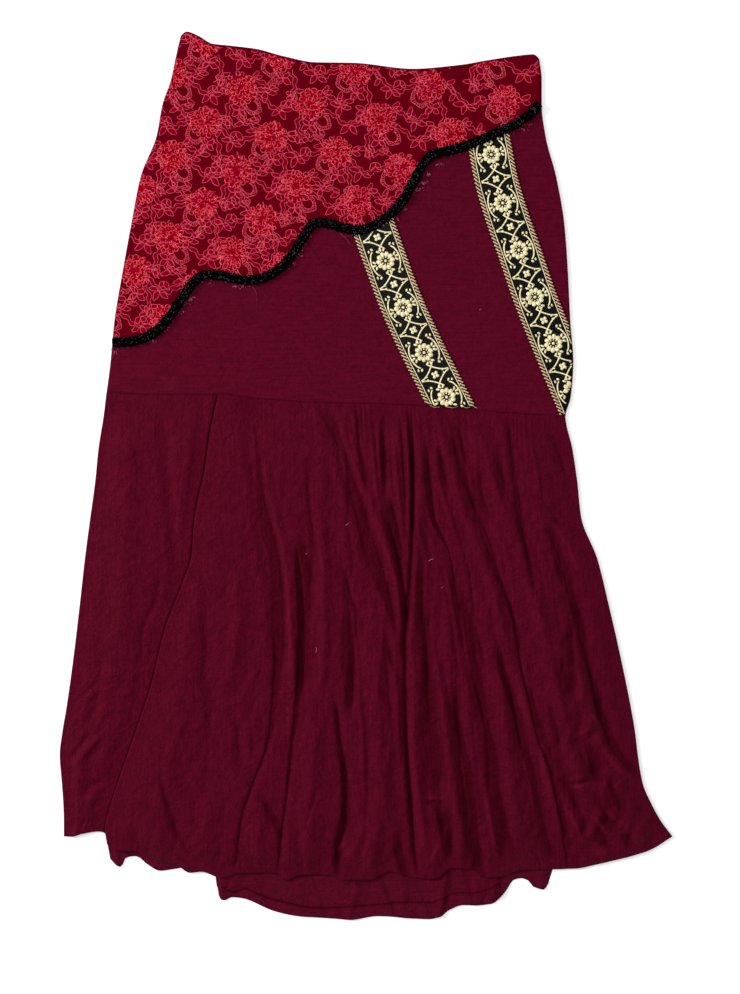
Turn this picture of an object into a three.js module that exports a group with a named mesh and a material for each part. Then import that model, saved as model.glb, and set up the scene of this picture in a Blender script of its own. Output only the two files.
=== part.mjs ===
// Midi skirt laid flat on its back: a hip yoke with a lace overlay, a scalloped braid and two
// ribbons, and a gathered flounce below a dropped seam. Millimetres, +Z up, +Y towards the waist.
// The tables give places on the layout board: x runs to the right and down runs towards the hem.
// The root frame has its origin under the middle of the laid skirt, on the surface it lies on.

import * as THREE from 'three';

const { lerp, smoothstep, clamp } = THREE.MathUtils;

// Driving dimensions
const SKIRT_LENGTH = 888;
const HEM_WIDTH = 612;
const BOARD_LEFT = 60.2;
const BOARD_TOP = 31.6;
const CLOTH_WALL = 1.2;
const LACE_WALL = 1.0;
const RIBBON_WALL = 1.0;
const SEAM_GAP = 0.3;
const YOKE_CROWN = 2.2;
const BRAID_WIDTH = 8.6;
const BRAID_HEIGHT = 2.8;
const BRAID_PITCH = 6.2;
const PLEAT_TUCK = 18;
const PLEAT_RETURN = 13;
const PLEAT_BEND_RADIUS = 1.6;
const FLOUNCE_LIFT = 5.5;
const GATHER_HEIGHT = 0.9;
const GATHER_PITCH = 12.5;
const GATHER_LENGTH = 70;
const LACE_RIM = 1.6;
const YOKE_FRONT_DROP = 0.8;

// Heights of the middle of each layer's wall above the surface that the skirt lies on
const BACK_MID = CLOTH_WALL / 2;
const FRONT_MID = BACK_MID + CLOTH_WALL + SEAM_GAP;
const PLEAT_MID = FRONT_MID + CLOTH_WALL + SEAM_GAP;
const LACE_RISE = (CLOTH_WALL + LACE_WALL) / 2 + SEAM_GAP;
const RIBBON_RISE = (CLOTH_WALL + RIBBON_WALL) / 2 + SEAM_GAP;
const BRAID_RISE = LACE_RISE + LACE_WALL / 2 + SEAM_GAP + BRAID_HEIGHT / 2;

// Outline of the laid skirt, a row for each level from waist to hem
const SIDE_LEVELS = [
  { down: 31, left: 181.5, right: 535 },
  { down: 59, left: 175, right: 539 },
  { down: 80, left: 170.7, right: 541.5 },
  { down: 105, left: 162, right: 541.5 },
  { down: 137, left: 156, right: 545.5 },
  { down: 177, left: 140.3, right: 556 },
  { down: 223, left: 131.3, right: 564 },
  { down: 269, left: 123, right: 567.5 },
  { down: 320, left: 114.6, right: 570 },
  { down: 361, left: 110.8, right: 573 },
  { down: 395, left: 106.5, right: 570.5 },
  { down: 416, left: 104, right: 565 },
  { down: 449, left: 98.8, right: 572 },
  { down: 482, left: 95.5, right: 577 },
  { down: 518, left: 90.6, right: 581 },
  { down: 559, left: 85.2, right: 597 },
  { down: 603, left: 80.3, right: 608 },
  { down: 660, left: 73.5, right: 621 },
  { down: 704, left: 67.4, right: 630 },
  { down: 733, left: 62.6, right: 635 },
  { down: 754, left: 60.2, right: 637.5 },
  { down: 783, left: 62.3, right: 642.5 },
  { down: 803, left: 63.7, right: 651 },
  { down: 821, left: 64.3, right: 661 },
  { down: 836, left: 64.3, right: 672.2 },
];

// Top edge of the yoke, higher at the left corner and sagging in the middle
const WAIST_LINE = [
  { x: 181, down: 36 },
  { x: 186, down: 31.6 },
  { x: 199.5, down: 36.6 },
  { x: 211, down: 43.6 },
  { x: 229, down: 45.7 },
  { x: 256, down: 49 },
  { x: 282, down: 56 },
  { x: 316, down: 62.5 },
  { x: 353, down: 63 },
  { x: 413, down: 69 },
  { x: 461, down: 65 },
  { x: 486, down: 60.7 },
  { x: 519, down: 55.7 },
  { x: 534, down: 54.4 },
  { x: 539, down: 59 },
];

// Dropped seam where the yoke ends and the flounce begins
const DROPPED_SEAM = [
  { x: 104, down: 391.5 },
  { x: 150, down: 394 },
  { x: 205, down: 394 },
  { x: 262, down: 398.5 },
  { x: 320, down: 402 },
  { x: 400, down: 404 },
  { x: 450, down: 408 },
  { x: 505, down: 412 },
  { x: 569, down: 416 },
];

// Folded edge of the front flounce where it lies over the left panel
const PLEAT_EDGE = [
  { down: 392, x: 219 },
  { down: 430, x: 211 },
  { down: 470, x: 205 },
  { down: 520, x: 195 },
  { down: 556, x: 192 },
  { down: 583, x: 183 },
  { down: 628, x: 166 },
  { down: 685, x: 152 },
  { down: 728, x: 138 },
  { down: 780, x: 120 },
  { down: 812, x: 110 },
  { down: 831, x: 106 },
  { down: 847, x: 108 },
];

const LEFT_HEM = [
  { x: 64, down: 836 },
  { x: 72, down: 836 },
  { x: 83, down: 833 },
  { x: 99, down: 831 },
  { x: 104, down: 832 },
  { x: 109, down: 838 },
  { x: 126, down: 842 },
];

const FRONT_HEM = [
  { x: 108, down: 846 },
  { x: 119, down: 853 },
  { x: 134, down: 854 },
  { x: 148, down: 860 },
  { x: 163, down: 864 },
  { x: 178, down: 867 },
  { x: 190, down: 873 },
  { x: 202, down: 871 },
  { x: 221, down: 877 },
  { x: 240, down: 873 },
  { x: 268, down: 872 },
  { x: 277, down: 873 },
  { x: 287, down: 880 },
  { x: 299, down: 875 },
  { x: 317, down: 874 },
  { x: 332, down: 875 },
  { x: 344, down: 880 },
  { x: 370, down: 880 },
  { x: 382, down: 874 },
  { x: 391, down: 871 },
  { x: 405, down: 875.5 },
  { x: 434, down: 879 },
  { x: 452, down: 868 },
  { x: 469, down: 868 },
  { x: 487, down: 877 },
  { x: 505, down: 875.5 },
  { x: 514, down: 871 },
  { x: 534, down: 869 },
  { x: 572, down: 868 },
  { x: 608, down: 861 },
  { x: 648, down: 850 },
  { x: 672, down: 836 },
];

const BACK_HEM = [
  { x: 65, down: 831 },
  { x: 98, down: 826 },
  { x: 107, down: 836 },
  { x: 109, down: 857 },
  { x: 121, down: 866.5 },
  { x: 126.5, down: 857 },
  { x: 136, down: 856 },
  { x: 148, down: 864.5 },
  { x: 160, down: 870.6 },
  { x: 176, down: 868.5 },
  { x: 186, down: 867 },
  { x: 216, down: 869 },
  { x: 219, down: 897 },
  { x: 224.5, down: 900 },
  { x: 232, down: 897 },
  { x: 242, down: 898 },
  { x: 274.5, down: 911 },
  { x: 295, down: 915.5 },
  { x: 336, down: 918.6 },
  { x: 350, down: 919.6 },
  { x: 378, down: 916 },
  { x: 429, down: 919 },
  { x: 439, down: 917 },
  { x: 449, down: 910 },
  { x: 463, down: 905 },
  { x: 478, down: 905 },
  { x: 492, down: 903.5 },
  { x: 506, down: 890 },
  { x: 513, down: 880 },
  { x: 521, down: 878 },
  { x: 527.5, down: 880 },
  { x: 534, down: 887 },
  { x: 543, down: 889 },
  { x: 548.5, down: 883 },
  { x: 551, down: 868 },
  { x: 572, down: 864 },
  { x: 608, down: 857 },
  { x: 648, down: 846 },
  { x: 669, down: 832 },
];

// Upper edge of the hem allowance turned up on the inside of the back flounce
const TURNUP_EDGE = [
  { x: 223, down: 886.5 },
  { x: 234, down: 891 },
  { x: 245, down: 888 },
  { x: 260, down: 894 },
  { x: 279, down: 900 },
  { x: 319, down: 907 },
  { x: 342, down: 906 },
  { x: 380, down: 903.5 },
  { x: 407, down: 901 },
  { x: 430, down: 902 },
  { x: 445, down: 897 },
  { x: 456, down: 892 },
  { x: 470, down: 892 },
  { x: 490, down: 888 },
  { x: 500, down: 882 },
];

// Middle line of the scalloped braid
const BRAID_LINE = [
  { x: 113, down: 343 },
  { x: 123, down: 342.5 },
  { x: 136, down: 341 },
  { x: 150, down: 336 },
  { x: 161, down: 328 },
  { x: 171, down: 316 },
  { x: 188, down: 291 },
  { x: 196, down: 281 },
  { x: 204, down: 275.5 },
  { x: 214, down: 275.5 },
  { x: 231, down: 278.5 },
  { x: 248, down: 281 },
  { x: 261, down: 279.5 },
  { x: 272, down: 274.5 },
  { x: 284, down: 266 },
  { x: 292, down: 256 },
  { x: 306, down: 234 },
  { x: 312, down: 225.5 },
  { x: 320, down: 223 },
  { x: 332, down: 225.5 },
  { x: 345, down: 229.5 },
  { x: 358, down: 231.5 },
  { x: 371, down: 228 },
  { x: 383, down: 221 },
  { x: 393, down: 212.5 },
  { x: 403, down: 201 },
  { x: 418, down: 174 },
  { x: 424.5, down: 163 },
  { x: 434, down: 155 },
  { x: 449, down: 152 },
  { x: 466, down: 147 },
  { x: 499, down: 133 },
  { x: 516, down: 124.5 },
  { x: 530.5, down: 114.5 },
  { x: 537.5, down: 106.5 },
];

// Cross sections of the ribbons: both edges, a row for each section
const RIBBON_CENTRE_SECTIONS = [
  { leftX: 350, leftDown: 232, rightX: 393, rightDown: 213 },
  { leftX: 360, leftDown: 257, rightX: 403, rightDown: 242 },
  { leftX: 375.5, leftDown: 296, rightX: 417.7, rightDown: 285 },
  { leftX: 391.6, leftDown: 335, rightX: 437, rightDown: 332 },
  { leftX: 409.6, leftDown: 376, rightX: 460.5, rightDown: 377 },
  { leftX: 423, leftDown: 403, rightX: 471, rightDown: 404 },
];

const RIBBON_SIDE_SECTIONS = [
  { leftX: 466.5, leftDown: 149, rightX: 512, rightDown: 128 },
  { leftX: 470, leftDown: 170.5, rightX: 515, rightDown: 149 },
  { leftX: 478, leftDown: 206, rightX: 523, rightDown: 184 },
  { leftX: 488.7, leftDown: 240.5, rightX: 532, rightDown: 220 },
  { leftX: 503, leftDown: 281, rightX: 545, rightDown: 255.5 },
  { leftX: 518, leftDown: 321, rightX: 562, rightDown: 305 },
  { leftX: 530, leftDown: 347, rightX: 570, rightDown: 339 },
  { leftX: 547, leftDown: 388, rightX: 571, rightDown: 386 },
  { leftX: 558, leftDown: 410, rightX: 565.5, rightDown: 410 },
];

// Folds of the front flounce: where each runs, its reach to either side and its rise,
// below zero for a trough. A fold dies away at its ends unless it reaches the hem.
const FRONT_FOLDS = [
  { left: 10, right: 12, rise: -6,
    run: [[243, 425], [256, 470], [266, 540], [274, 600], [272, 680], [248, 795], [233, 880]] },
  { left: 9, right: 9, rise: 3,
    run: [[263, 455], [272, 510], [284, 560], [292, 620], [290, 700]] },
  { left: 9, right: 10, rise: -8,
    run: [[288, 530], [300, 610], [302, 670], [293, 720], [286, 800], [277, 885]] },
  { left: 15, right: 15, rise: 4,
    run: [[312, 690], [310, 780], [306, 885]] },
  { left: 9, right: 9, rise: -6,
    run: [[343, 560], [351, 610], [352, 660], [350, 730]] },
  { left: 9, right: 9, rise: -7,
    run: [[336, 690], [342, 760], [342, 820], [336, 890]] },
  { left: 8, right: 8, rise: -4,
    run: [[323, 404], [337, 445], [350, 490], [362, 540], [369, 565]] },
  { left: 8, right: 8, rise: 3.5,
    run: [[338, 406], [354, 450], [372, 505], [389, 551], [396, 600]] },
  { left: 17, right: 17, rise: 4,
    run: [[372, 660], [378, 760], [376, 885]] },
  { left: 9, right: 9, rise: -7.5,
    run: [[386, 408], [383, 460], [387, 510], [395, 553], [405, 640], [405, 710], [411, 796], [420, 885]] },
  { left: 6, right: 6, rise: -3.5,
    run: [[409, 410], [413, 470], [413, 530], [407, 610]] },
  { left: 8, right: 8, rise: 3.5,
    run: [[420, 421], [421, 482], [417, 574], [414, 640], [418, 729], [430, 850]] },
  { left: 8, right: 8, rise: -5,
    run: [[427, 455], [431, 510], [450, 558], [464, 625], [480, 686], [488, 745], [489, 800]] },
  { left: 7, right: 7, rise: -4,
    run: [[423, 604], [428, 673], [431, 745]] },
  { left: 8, right: 8, rise: -5,
    run: [[444, 795], [445, 850]] },
  { left: 9, right: 8, rise: 5,
    run: [[434, 650], [449, 729], [460, 796], [463, 885]] },
  { left: 9, right: 9, rise: -7,
    run: [[458, 690], [468, 760], [474, 810], [480, 885]] },
  { left: 13, right: 13, rise: 4,
    run: [[500, 700], [510, 790], [512, 885]] },
  { left: 8, right: 9, rise: -7,
    run: [[443, 415], [459, 466], [478, 519], [500, 590], [516, 645], [534, 714], [552, 770], [568, 880]] },
  { left: 7, right: 7, rise: -4,
    run: [[454, 511], [472, 576], [484, 653], [505, 698], [525, 747], [541, 840]] },
  { left: 13, right: 13, rise: 3.5,
    run: [[476, 421], [490, 480], [512, 533], [534, 600], [556, 690], [580, 780], [596, 885]] },
  { left: 7, right: 7, rise: -3,
    run: [[507, 418], [514, 485], [527, 553], [535, 600]] },
  { left: 8, right: 8, rise: -3.5,
    run: [[549, 424], [560, 476]] },
  { left: 9, right: 9, rise: -4,
    run: [[543, 505], [551, 549], [566, 592], [586, 666], [603, 723], [640, 785]] },
  { left: 9, right: 9, rise: -3.5,
    run: [[582, 730], [598, 780], [615, 825]] },
  { left: 15, right: 15, rise: 3,
    run: [[600, 690], [626, 790], [642, 870]] },
  { left: 22, right: 22, rise: 2.5,
    run: [[192, 620], [178, 720], [162, 800], [152, 880]] },
  { left: 8, right: 8, rise: -3,
    run: [[196, 560], [198, 640], [206, 710], [198, 765], [206, 805]] },
  { left: 8, right: 8, rise: -3,
    run: [[220, 700], [236, 737], [241, 775]] },
  { left: 8, right: 8, rise: -3,
    run: [[160, 775], [172, 815], [181, 845]] },
];

const LEFT_FOLDS = [
  { left: 14, right: 14, rise: -2,
    run: [[163, 398], [168, 470], [176, 570], [172, 600]] },
  { left: 22, right: 24, rise: 2.4,
    run: [[130, 420], [126, 520], [122, 620], [100, 720]] },
  { left: 9, right: 9, rise: -2,
    run: [[160, 560], [146, 625], [138, 690], [120, 760]] },
  { left: 12, right: 12, rise: -1.6,
    run: [[104, 700], [92, 740], [80, 790]] },
  { left: 9, right: 9, rise: 2,
    run: [[88, 745], [78, 790], [74, 850]] },
];

// Materials, one for each kind of cloth or trim
const FINISHES = {
  wineCloth: { color: 0x651029, roughness: 0.62, metalness: 0 },
  wineInside: { color: 0x5a0f26, roughness: 0.68, metalness: 0 },
  redLace: { color: 0xb3122b, roughness: 0.7, metalness: 0 },
  blackBraid: { color: 0x0d1012, roughness: 0.55, metalness: 0 },
  goldRibbon: { color: 0x6b5a38, roughness: 0.5, metalness: 0.15 },
};

function finishOf(kind) {
  return new THREE.MeshStandardMaterial(FINISHES[kind]);
}

// A smooth curve through the rows of a table that never overshoots them
function curveThrough(rows, across, value) {
  const at = rows.map((row) => row[across]);
  const to = rows.map((row) => row[value]);
  const spans = at.slice(1).map((next, k) => next - at[k]);
  const slopes = spans.map((span, k) => (to[k + 1] - to[k]) / span);
  const tangents = at.map((_, k) => {
    if (k === 0) return slopes[0];
    if (k === at.length - 1) return slopes[k - 1];
    if (slopes[k - 1] * slopes[k] <= 0) return 0;
    const before = spans[k - 1] + 2 * spans[k];
    const after = 2 * spans[k - 1] + spans[k];
    return (before + after) / (before / slopes[k] + after / slopes[k - 1]);
  });
  return (place) => {
    const inside = clamp(place, at[0], at[at.length - 1]);
    let k = 0;
    while (k < spans.length - 1 && inside > at[k + 1]) k += 1;
    const u = (inside - at[k]) / spans[k];
    const near = to[k] * (1 + 2 * u) + tangents[k] * spans[k] * u;
    const far = to[k + 1] * (3 - 2 * u) + tangents[k + 1] * spans[k] * (u - 1);
    return near * (1 - u) * (1 - u) + far * u * u;
  };
}

const leftSide = curveThrough(SIDE_LEVELS, 'down', 'left');
const rightSide = curveThrough(SIDE_LEVELS, 'down', 'right');
const waistDown = curveThrough(WAIST_LINE, 'x', 'down');
const seamDown = curveThrough(DROPPED_SEAM, 'x', 'down');
const pleatX = curveThrough(PLEAT_EDGE, 'down', 'x');
const leftHemDown = curveThrough(LEFT_HEM, 'x', 'down');
const frontHemDown = curveThrough(FRONT_HEM, 'x', 'down');
const backHemDown = curveThrough(BACK_HEM, 'x', 'down');
const turnupDown = curveThrough(TURNUP_EDGE, 'x', 'down');
const braidDown = curveThrough(BRAID_LINE, 'x', 'down');

// From the layout board to the skirt's own frame
function place(x, down, height) {
  return new THREE.Vector3(
    x - BOARD_LEFT - HEM_WIDTH / 2,
    SKIRT_LENGTH / 2 - (down - BOARD_TOP),
    height,
  );
}

// Soft swelling of the yoke, flat along its edges and seam
function yokeRise(x, down) {
  const fromSide = Math.min(x - leftSide(down), rightSide(down) - x);
  const fromEnds = Math.min(down - waistDown(x), seamDown(x) - down);
  const inward = smoothstep(fromSide, 2, 90) * smoothstep(fromEnds, 2, 80);
  const ripple = 0.8 + 0.2 * Math.sin(x / 37 + down / 61);
  return YOKE_CROWN * inward * ripple;
}

// Height of one fold above or below the lie of the cloth
function foldRise(fold, x, down) {
  const first = fold.run[0][1];
  const last = fold.run[fold.run.length - 1][1];
  if (down <= first || down >= last) return 0;
  const offset = x - fold.line(down);
  const reach = offset < 0 ? fold.left : fold.right;
  const u = offset / reach;
  if (Math.abs(u) >= 1) return 0;
  const fade = Math.min(35, (last - first) / 2);
  const ends = smoothstep(down, first, first + fade) * smoothstep(last - down, 0, fade);
  return fold.rise * (1 - u * u) ** 2 * ends;
}

function withLines(folds) {
  return folds.map((fold) => {
    const rows = fold.run.map(([x, down]) => ({ x, down }));
    return { ...fold, line: curveThrough(rows, 'down', 'x') };
  });
}

const frontFolds = withLines(FRONT_FOLDS);
const leftFolds = withLines(LEFT_FOLDS);

// Small even gathers hanging from the dropped seam, their pitch drifting a little
function gatherRise(x, down) {
  const below = down - seamDown(x);
  const fade = smoothstep(below, 3, 16) * (1 - smoothstep(below, 16, GATHER_LENGTH));
  const along = (x - below * 0.12) / GATHER_PITCH + 0.35 * Math.sin(x / 29);
  return GATHER_HEIGHT * fade * (1 + Math.sin(along * Math.PI * 2));
}

// Height of the middle of the front flounce's wall
function frontHeight(x, down) {
  const below = down - seamDown(x);
  const fromPleat = x - pleatX(down);
  const fromSide = rightSide(down) - x;
  const open = smoothstep(below, 0, 70) * smoothstep(fromSide, 0, 45);
  const folds = frontFolds.reduce((sum, fold) => sum + foldRise(fold, x, down), 0);
  const gathers = gatherRise(x, down) * smoothstep(fromSide, 0, 20);
  const loose = Math.max(0, (FLOUNCE_LIFT + folds) * open) + gathers;
  const overPleat = 1 - smoothstep(fromPleat, 10, 46);
  const rolled = PLEAT_MID - FRONT_MID + 2 * PLEAT_BEND_RADIUS;
  const held = rolled + 0.35 * loose * smoothstep(fromPleat, 4, 30);
  return FRONT_MID + lerp(loose, held, overPleat);
}

function leftHeight(x, down) {
  const below = down - seamDown(x);
  const fromPleat = pleatX(down) - x;
  const fromSide = x - leftSide(down);
  const open = smoothstep(below, 0, 50) * smoothstep(fromPleat, 6, 26) * smoothstep(fromSide, 0, 25);
  const folds = leftFolds.reduce((sum, fold) => sum + foldRise(fold, x, down), 0);
  return FRONT_MID + Math.max(0, (2.2 + folds) * open);
}

// Blends four borders into a grid of board places; each border is a function of 0 to 1
function blendBorders(top, bottom, left, right, across, lengthwise) {
  const corner = [left(0), right(0), left(1), right(1)];
  return lengthwise.map((t) => across.map((s) => {
    const mix = (key) => {
      const ends = lerp(top(s)[key], bottom(s)[key], t) + lerp(left(t)[key], right(t)[key], s);
      const flat = lerp(lerp(corner[0][key], corner[1][key], s), lerp(corner[2][key], corner[3][key], s), t);
      return ends - flat;
    };
    return { x: mix('x'), down: mix('down') };
  }));
}

function evenSteps(count) {
  return Array.from({ length: count + 1 }, (_, k) => k / count);
}

// Steps from 0 to 1 that fall on every row of a hem table, each span cut into equal parts
function hemSteps(rows, cuts) {
  const first = rows[0].x;
  const width = rows[rows.length - 1].x - first;
  const steps = [0];
  for (let k = 1; k < rows.length; k += 1) {
    for (let c = 1; c <= cuts; c += 1) {
      steps.push((lerp(rows[k - 1].x, rows[k].x, c / cuts) - first) / width);
    }
  }
  return steps;
}

// A border that crosses the cloth at a level given by x, and one that runs down a side
function crossBorder(fromX, toX, downAt, shift = 0) {
  return (s) => {
    const x = lerp(fromX, toX, s);
    return { x, down: downAt(x) + shift };
  };
}

function sideBorder(fromDown, toDown, xAt, shift = 0) {
  return (t) => {
    const down = lerp(fromDown, toDown, t);
    return { x: xAt(down) + shift, down };
  };
}

function asSurface(grid, heightAt) {
  return grid.map((row) => row.map(({ x, down }) => place(x, down, heightAt(x, down))));
}

// Which way the cloth faces at a grid point
function facingAt(grid, i, j) {
  const rows = grid.length - 1;
  const columns = grid[0].length - 1;
  const along = grid[i][Math.min(j + 1, columns)].clone().sub(grid[i][Math.max(j - 1, 0)]);
  const down = grid[Math.min(i + 1, rows)][j].clone().sub(grid[Math.max(i - 1, 0)][j]);
  return down.cross(along).normalize();
}

function meshOf(name, kind, points, triangles) {
  const geometry = new THREE.BufferGeometry();
  geometry.setAttribute('position', new THREE.Float32BufferAttribute(points.flatMap((p) => p.toArray()), 3));
  geometry.setIndex(triangles.flat());
  geometry.computeVertexNormals();
  const mesh = new THREE.Mesh(geometry, finishOf(kind));
  mesh.name = name;
  return mesh;
}

// A cloth wall of even thickness about a grid of middle points, closed along its four edges
function clothWall(name, kind, grid, wall) {
  const rows = grid.length;
  const columns = grid[0].length;
  const upper = [];
  const lower = [];
  grid.forEach((row, i) => row.forEach((point, j) => {
    const facing = facingAt(grid, i, j).multiplyScalar(wall / 2);
    upper.push(point.clone().add(facing));
    lower.push(point.clone().sub(facing));
  }));
  const under = rows * columns;
  const index = (i, j) => i * columns + j;
  const triangles = [];
  const quad = (a, b, c, d) => triangles.push([a, b, c], [a, c, d]);
  for (let i = 0; i < rows - 1; i += 1) {
    for (let j = 0; j < columns - 1; j += 1) {
      const [a, b, c, d] = [index(i, j), index(i + 1, j), index(i + 1, j + 1), index(i, j + 1)];
      quad(a, b, c, d);
      quad(under + a, under + d, under + c, under + b);
    }
  }
  for (let j = 0; j < columns - 1; j += 1) {
    const [a, b] = [index(0, j), index(0, j + 1)];
    const [c, d] = [index(rows - 1, j), index(rows - 1, j + 1)];
    quad(a, b, under + b, under + a);
    quad(c, under + c, under + d, d);
  }
  for (let i = 0; i < rows - 1; i += 1) {
    const [a, b] = [index(i, 0), index(i + 1, 0)];
    const [c, d] = [index(i, columns - 1), index(i + 1, columns - 1)];
    quad(a, under + a, under + b, b);
    quad(c, d, under + d, under + c);
  }
  return meshOf(name, kind, [...upper, ...lower], triangles);
}

// A solid lofted through closed rings of equal count, with flat ends
function loftSolid(name, kind, rings) {
  const sides = rings[0].length;
  const points = rings.flat();
  const triangles = [];
  for (let k = 0; k < rings.length - 1; k += 1) {
    for (let n = 0; n < sides; n += 1) {
      const next = (n + 1) % sides;
      const [a, b] = [k * sides + n, k * sides + next];
      const [c, d] = [a + sides, b + sides];
      triangles.push([a, c, b], [b, c, d]);
    }
  }
  const end = (rings.length - 1) * sides;
  for (let n = 1; n < sides - 1; n += 1) {
    triangles.push([0, n, n + 1], [end, end + n + 1, end + n]);
  }
  return meshOf(name, kind, points, triangles);
}

// The yoke, front and back; the back stands a little proud of the front at the waist
function buildYoke(name, kind, rim, rows, heightAt) {
  const seamShift = -SEAM_GAP / 2;
  const columns = hemSteps(WAIST_LINE, 2);
  const [waistLeft, waistRight] = [181, 539];
  const grid = blendBorders(
    crossBorder(waistLeft, waistRight, waistDown, rim),
    crossBorder(leftSide(391), rightSide(415), seamDown, seamShift),
    sideBorder(waistDown(waistLeft) + rim, 391, leftSide),
    sideBorder(waistDown(waistRight) + rim, 415, rightSide),
    columns,
    rows,
  );
  return clothWall(name, kind, asSurface(grid, heightAt), CLOTH_WALL);
}

function buildFlounceFront() {
  const columns = hemSteps(FRONT_HEM, 2);
  const rows = evenSteps(20);
  const seamShift = SEAM_GAP / 2;
  const [pleatTop, pleatBottom] = [392, 846];
  const [sideTop, sideBottom] = [416, 836];
  const grid = blendBorders(
    crossBorder(pleatX(pleatTop), rightSide(sideTop), seamDown, seamShift),
    crossBorder(108, 672, frontHemDown),
    sideBorder(pleatTop, pleatBottom, pleatX),
    sideBorder(sideTop, sideBottom, rightSide),
    columns,
    rows,
  );
  const bendSteps = 3;
  const surface = grid.map((row) => {
    const edge = row[0];
    const bendHeight = PLEAT_MID + PLEAT_BEND_RADIUS;
    const turned = [place(edge.x + PLEAT_RETURN, edge.down, PLEAT_MID)];
    for (let k = 0; k <= bendSteps; k += 1) {
      const angle = -Math.PI / 2 - (Math.PI * k) / (bendSteps + 1);
      const inward = PLEAT_BEND_RADIUS * (1 + Math.cos(angle));
      turned.push(place(edge.x + inward, edge.down, bendHeight + PLEAT_BEND_RADIUS * Math.sin(angle)));
    }
    const face = row.map(({ x, down }, j) => {
      const shifted = j === 0 ? x + PLEAT_BEND_RADIUS : x;
      return place(shifted, down, frontHeight(shifted, down));
    });
    return [...turned, ...face];
  });
  return clothWall('flounce_front', 'wineCloth', surface, CLOTH_WALL);
}

function buildFlounceLeft() {
  const seamShift = SEAM_GAP / 2;
  const tucked = (down) => pleatX(down) + PLEAT_TUCK;
  const grid = blendBorders(
    crossBorder(leftSide(391.5), tucked(393), seamDown, seamShift),
    crossBorder(64.3, tucked(842), leftHemDown),
    sideBorder(391.5, 836, leftSide),
    sideBorder(393, 842, tucked),
    evenSteps(16),
    evenSteps(15),
  );
  return clothWall('flounce_left', 'wineCloth', asSurface(grid, leftHeight), CLOTH_WALL);
}

function buildFlounceBack() {
  const seamShift = SEAM_GAP / 2;
  const grid = blendBorders(
    crossBorder(leftSide(391.5), rightSide(416), seamDown, seamShift),
    crossBorder(65, 669, backHemDown),
    sideBorder(391.5, 831, leftSide),
    sideBorder(416, 832, rightSide),
    hemSteps(BACK_HEM, 1),
    evenSteps(6),
  );
  return clothWall('flounce_back', 'wineInside', asSurface(grid, () => BACK_MID), CLOTH_WALL);
}

function buildHemTurnup() {
  const [from, to] = [223, 500];
  const hemInset = -0.6;
  const grid = blendBorders(
    crossBorder(from, to, turnupDown),
    crossBorder(from, to, backHemDown, hemInset),
    sideBorder(turnupDown(from), backHemDown(from) + hemInset, () => from),
    sideBorder(turnupDown(to), backHemDown(to) + hemInset, () => to),
    evenSteps(34),
    evenSteps(2),
  );
  return clothWall('hem_turnup_back', 'wineInside', asSurface(grid, () => FRONT_MID), CLOTH_WALL);
}

function buildLace() {
  const edgeInset = 0.6;
  const hiddenUnderBraid = -1.5;
  const [topLeft, topRight] = [182.5, 538];
  const [lowLeft, lowRight] = [leftSide(341) + edgeInset, 540.5];
  const laceFoot = (x) => braidDown(x) + hiddenUnderBraid;
  const grid = blendBorders(
    crossBorder(topLeft, topRight, waistDown, LACE_RIM),
    crossBorder(lowLeft, lowRight, laceFoot),
    sideBorder(waistDown(topLeft) + LACE_RIM, laceFoot(lowLeft), leftSide, edgeInset),
    sideBorder(waistDown(topRight) + LACE_RIM, laceFoot(lowRight), rightSide, -edgeInset),
    evenSteps(28),
    evenSteps(6),
  );
  const heightAt = (x, down) => FRONT_MID + yokeRise(x, down) + LACE_RISE;
  return clothWall('lace_overlay', 'redLace', asSurface(grid, heightAt), LACE_WALL);
}

// A ribbon laid on the yoke through its cross sections, its top end cut to the line of the braid
function buildRibbon(name, sections) {
  const reach = sections.map((section, k) => ({ ...section, step: k / (sections.length - 1) }));
  const [leftX, leftDown, rightX, rightDown] = ['leftX', 'leftDown', 'rightX', 'rightDown']
    .map((key) => curveThrough(reach, 'step', key));
  const underBraid = 1.5;
  const grid = evenSteps(3 * (sections.length - 1)).map((t) => evenSteps(4).map((s) => {
    const x = lerp(leftX(t), rightX(t), s);
    const down = lerp(leftDown(t), rightDown(t), s);
    const topX = lerp(leftX(0), rightX(0), s);
    const topDown = lerp(leftDown(0), rightDown(0), s);
    const trim = (braidDown(topX) + underBraid - topDown) * Math.max(0, 1 - t * (sections.length - 1));
    return { x, down: down + trim };
  }));
  const heightAt = (x, down) => FRONT_MID + yokeRise(x, down) + RIBBON_RISE;
  return clothWall(name, 'goldRibbon', asSurface(grid, heightAt), RIBBON_WALL);
}

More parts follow.
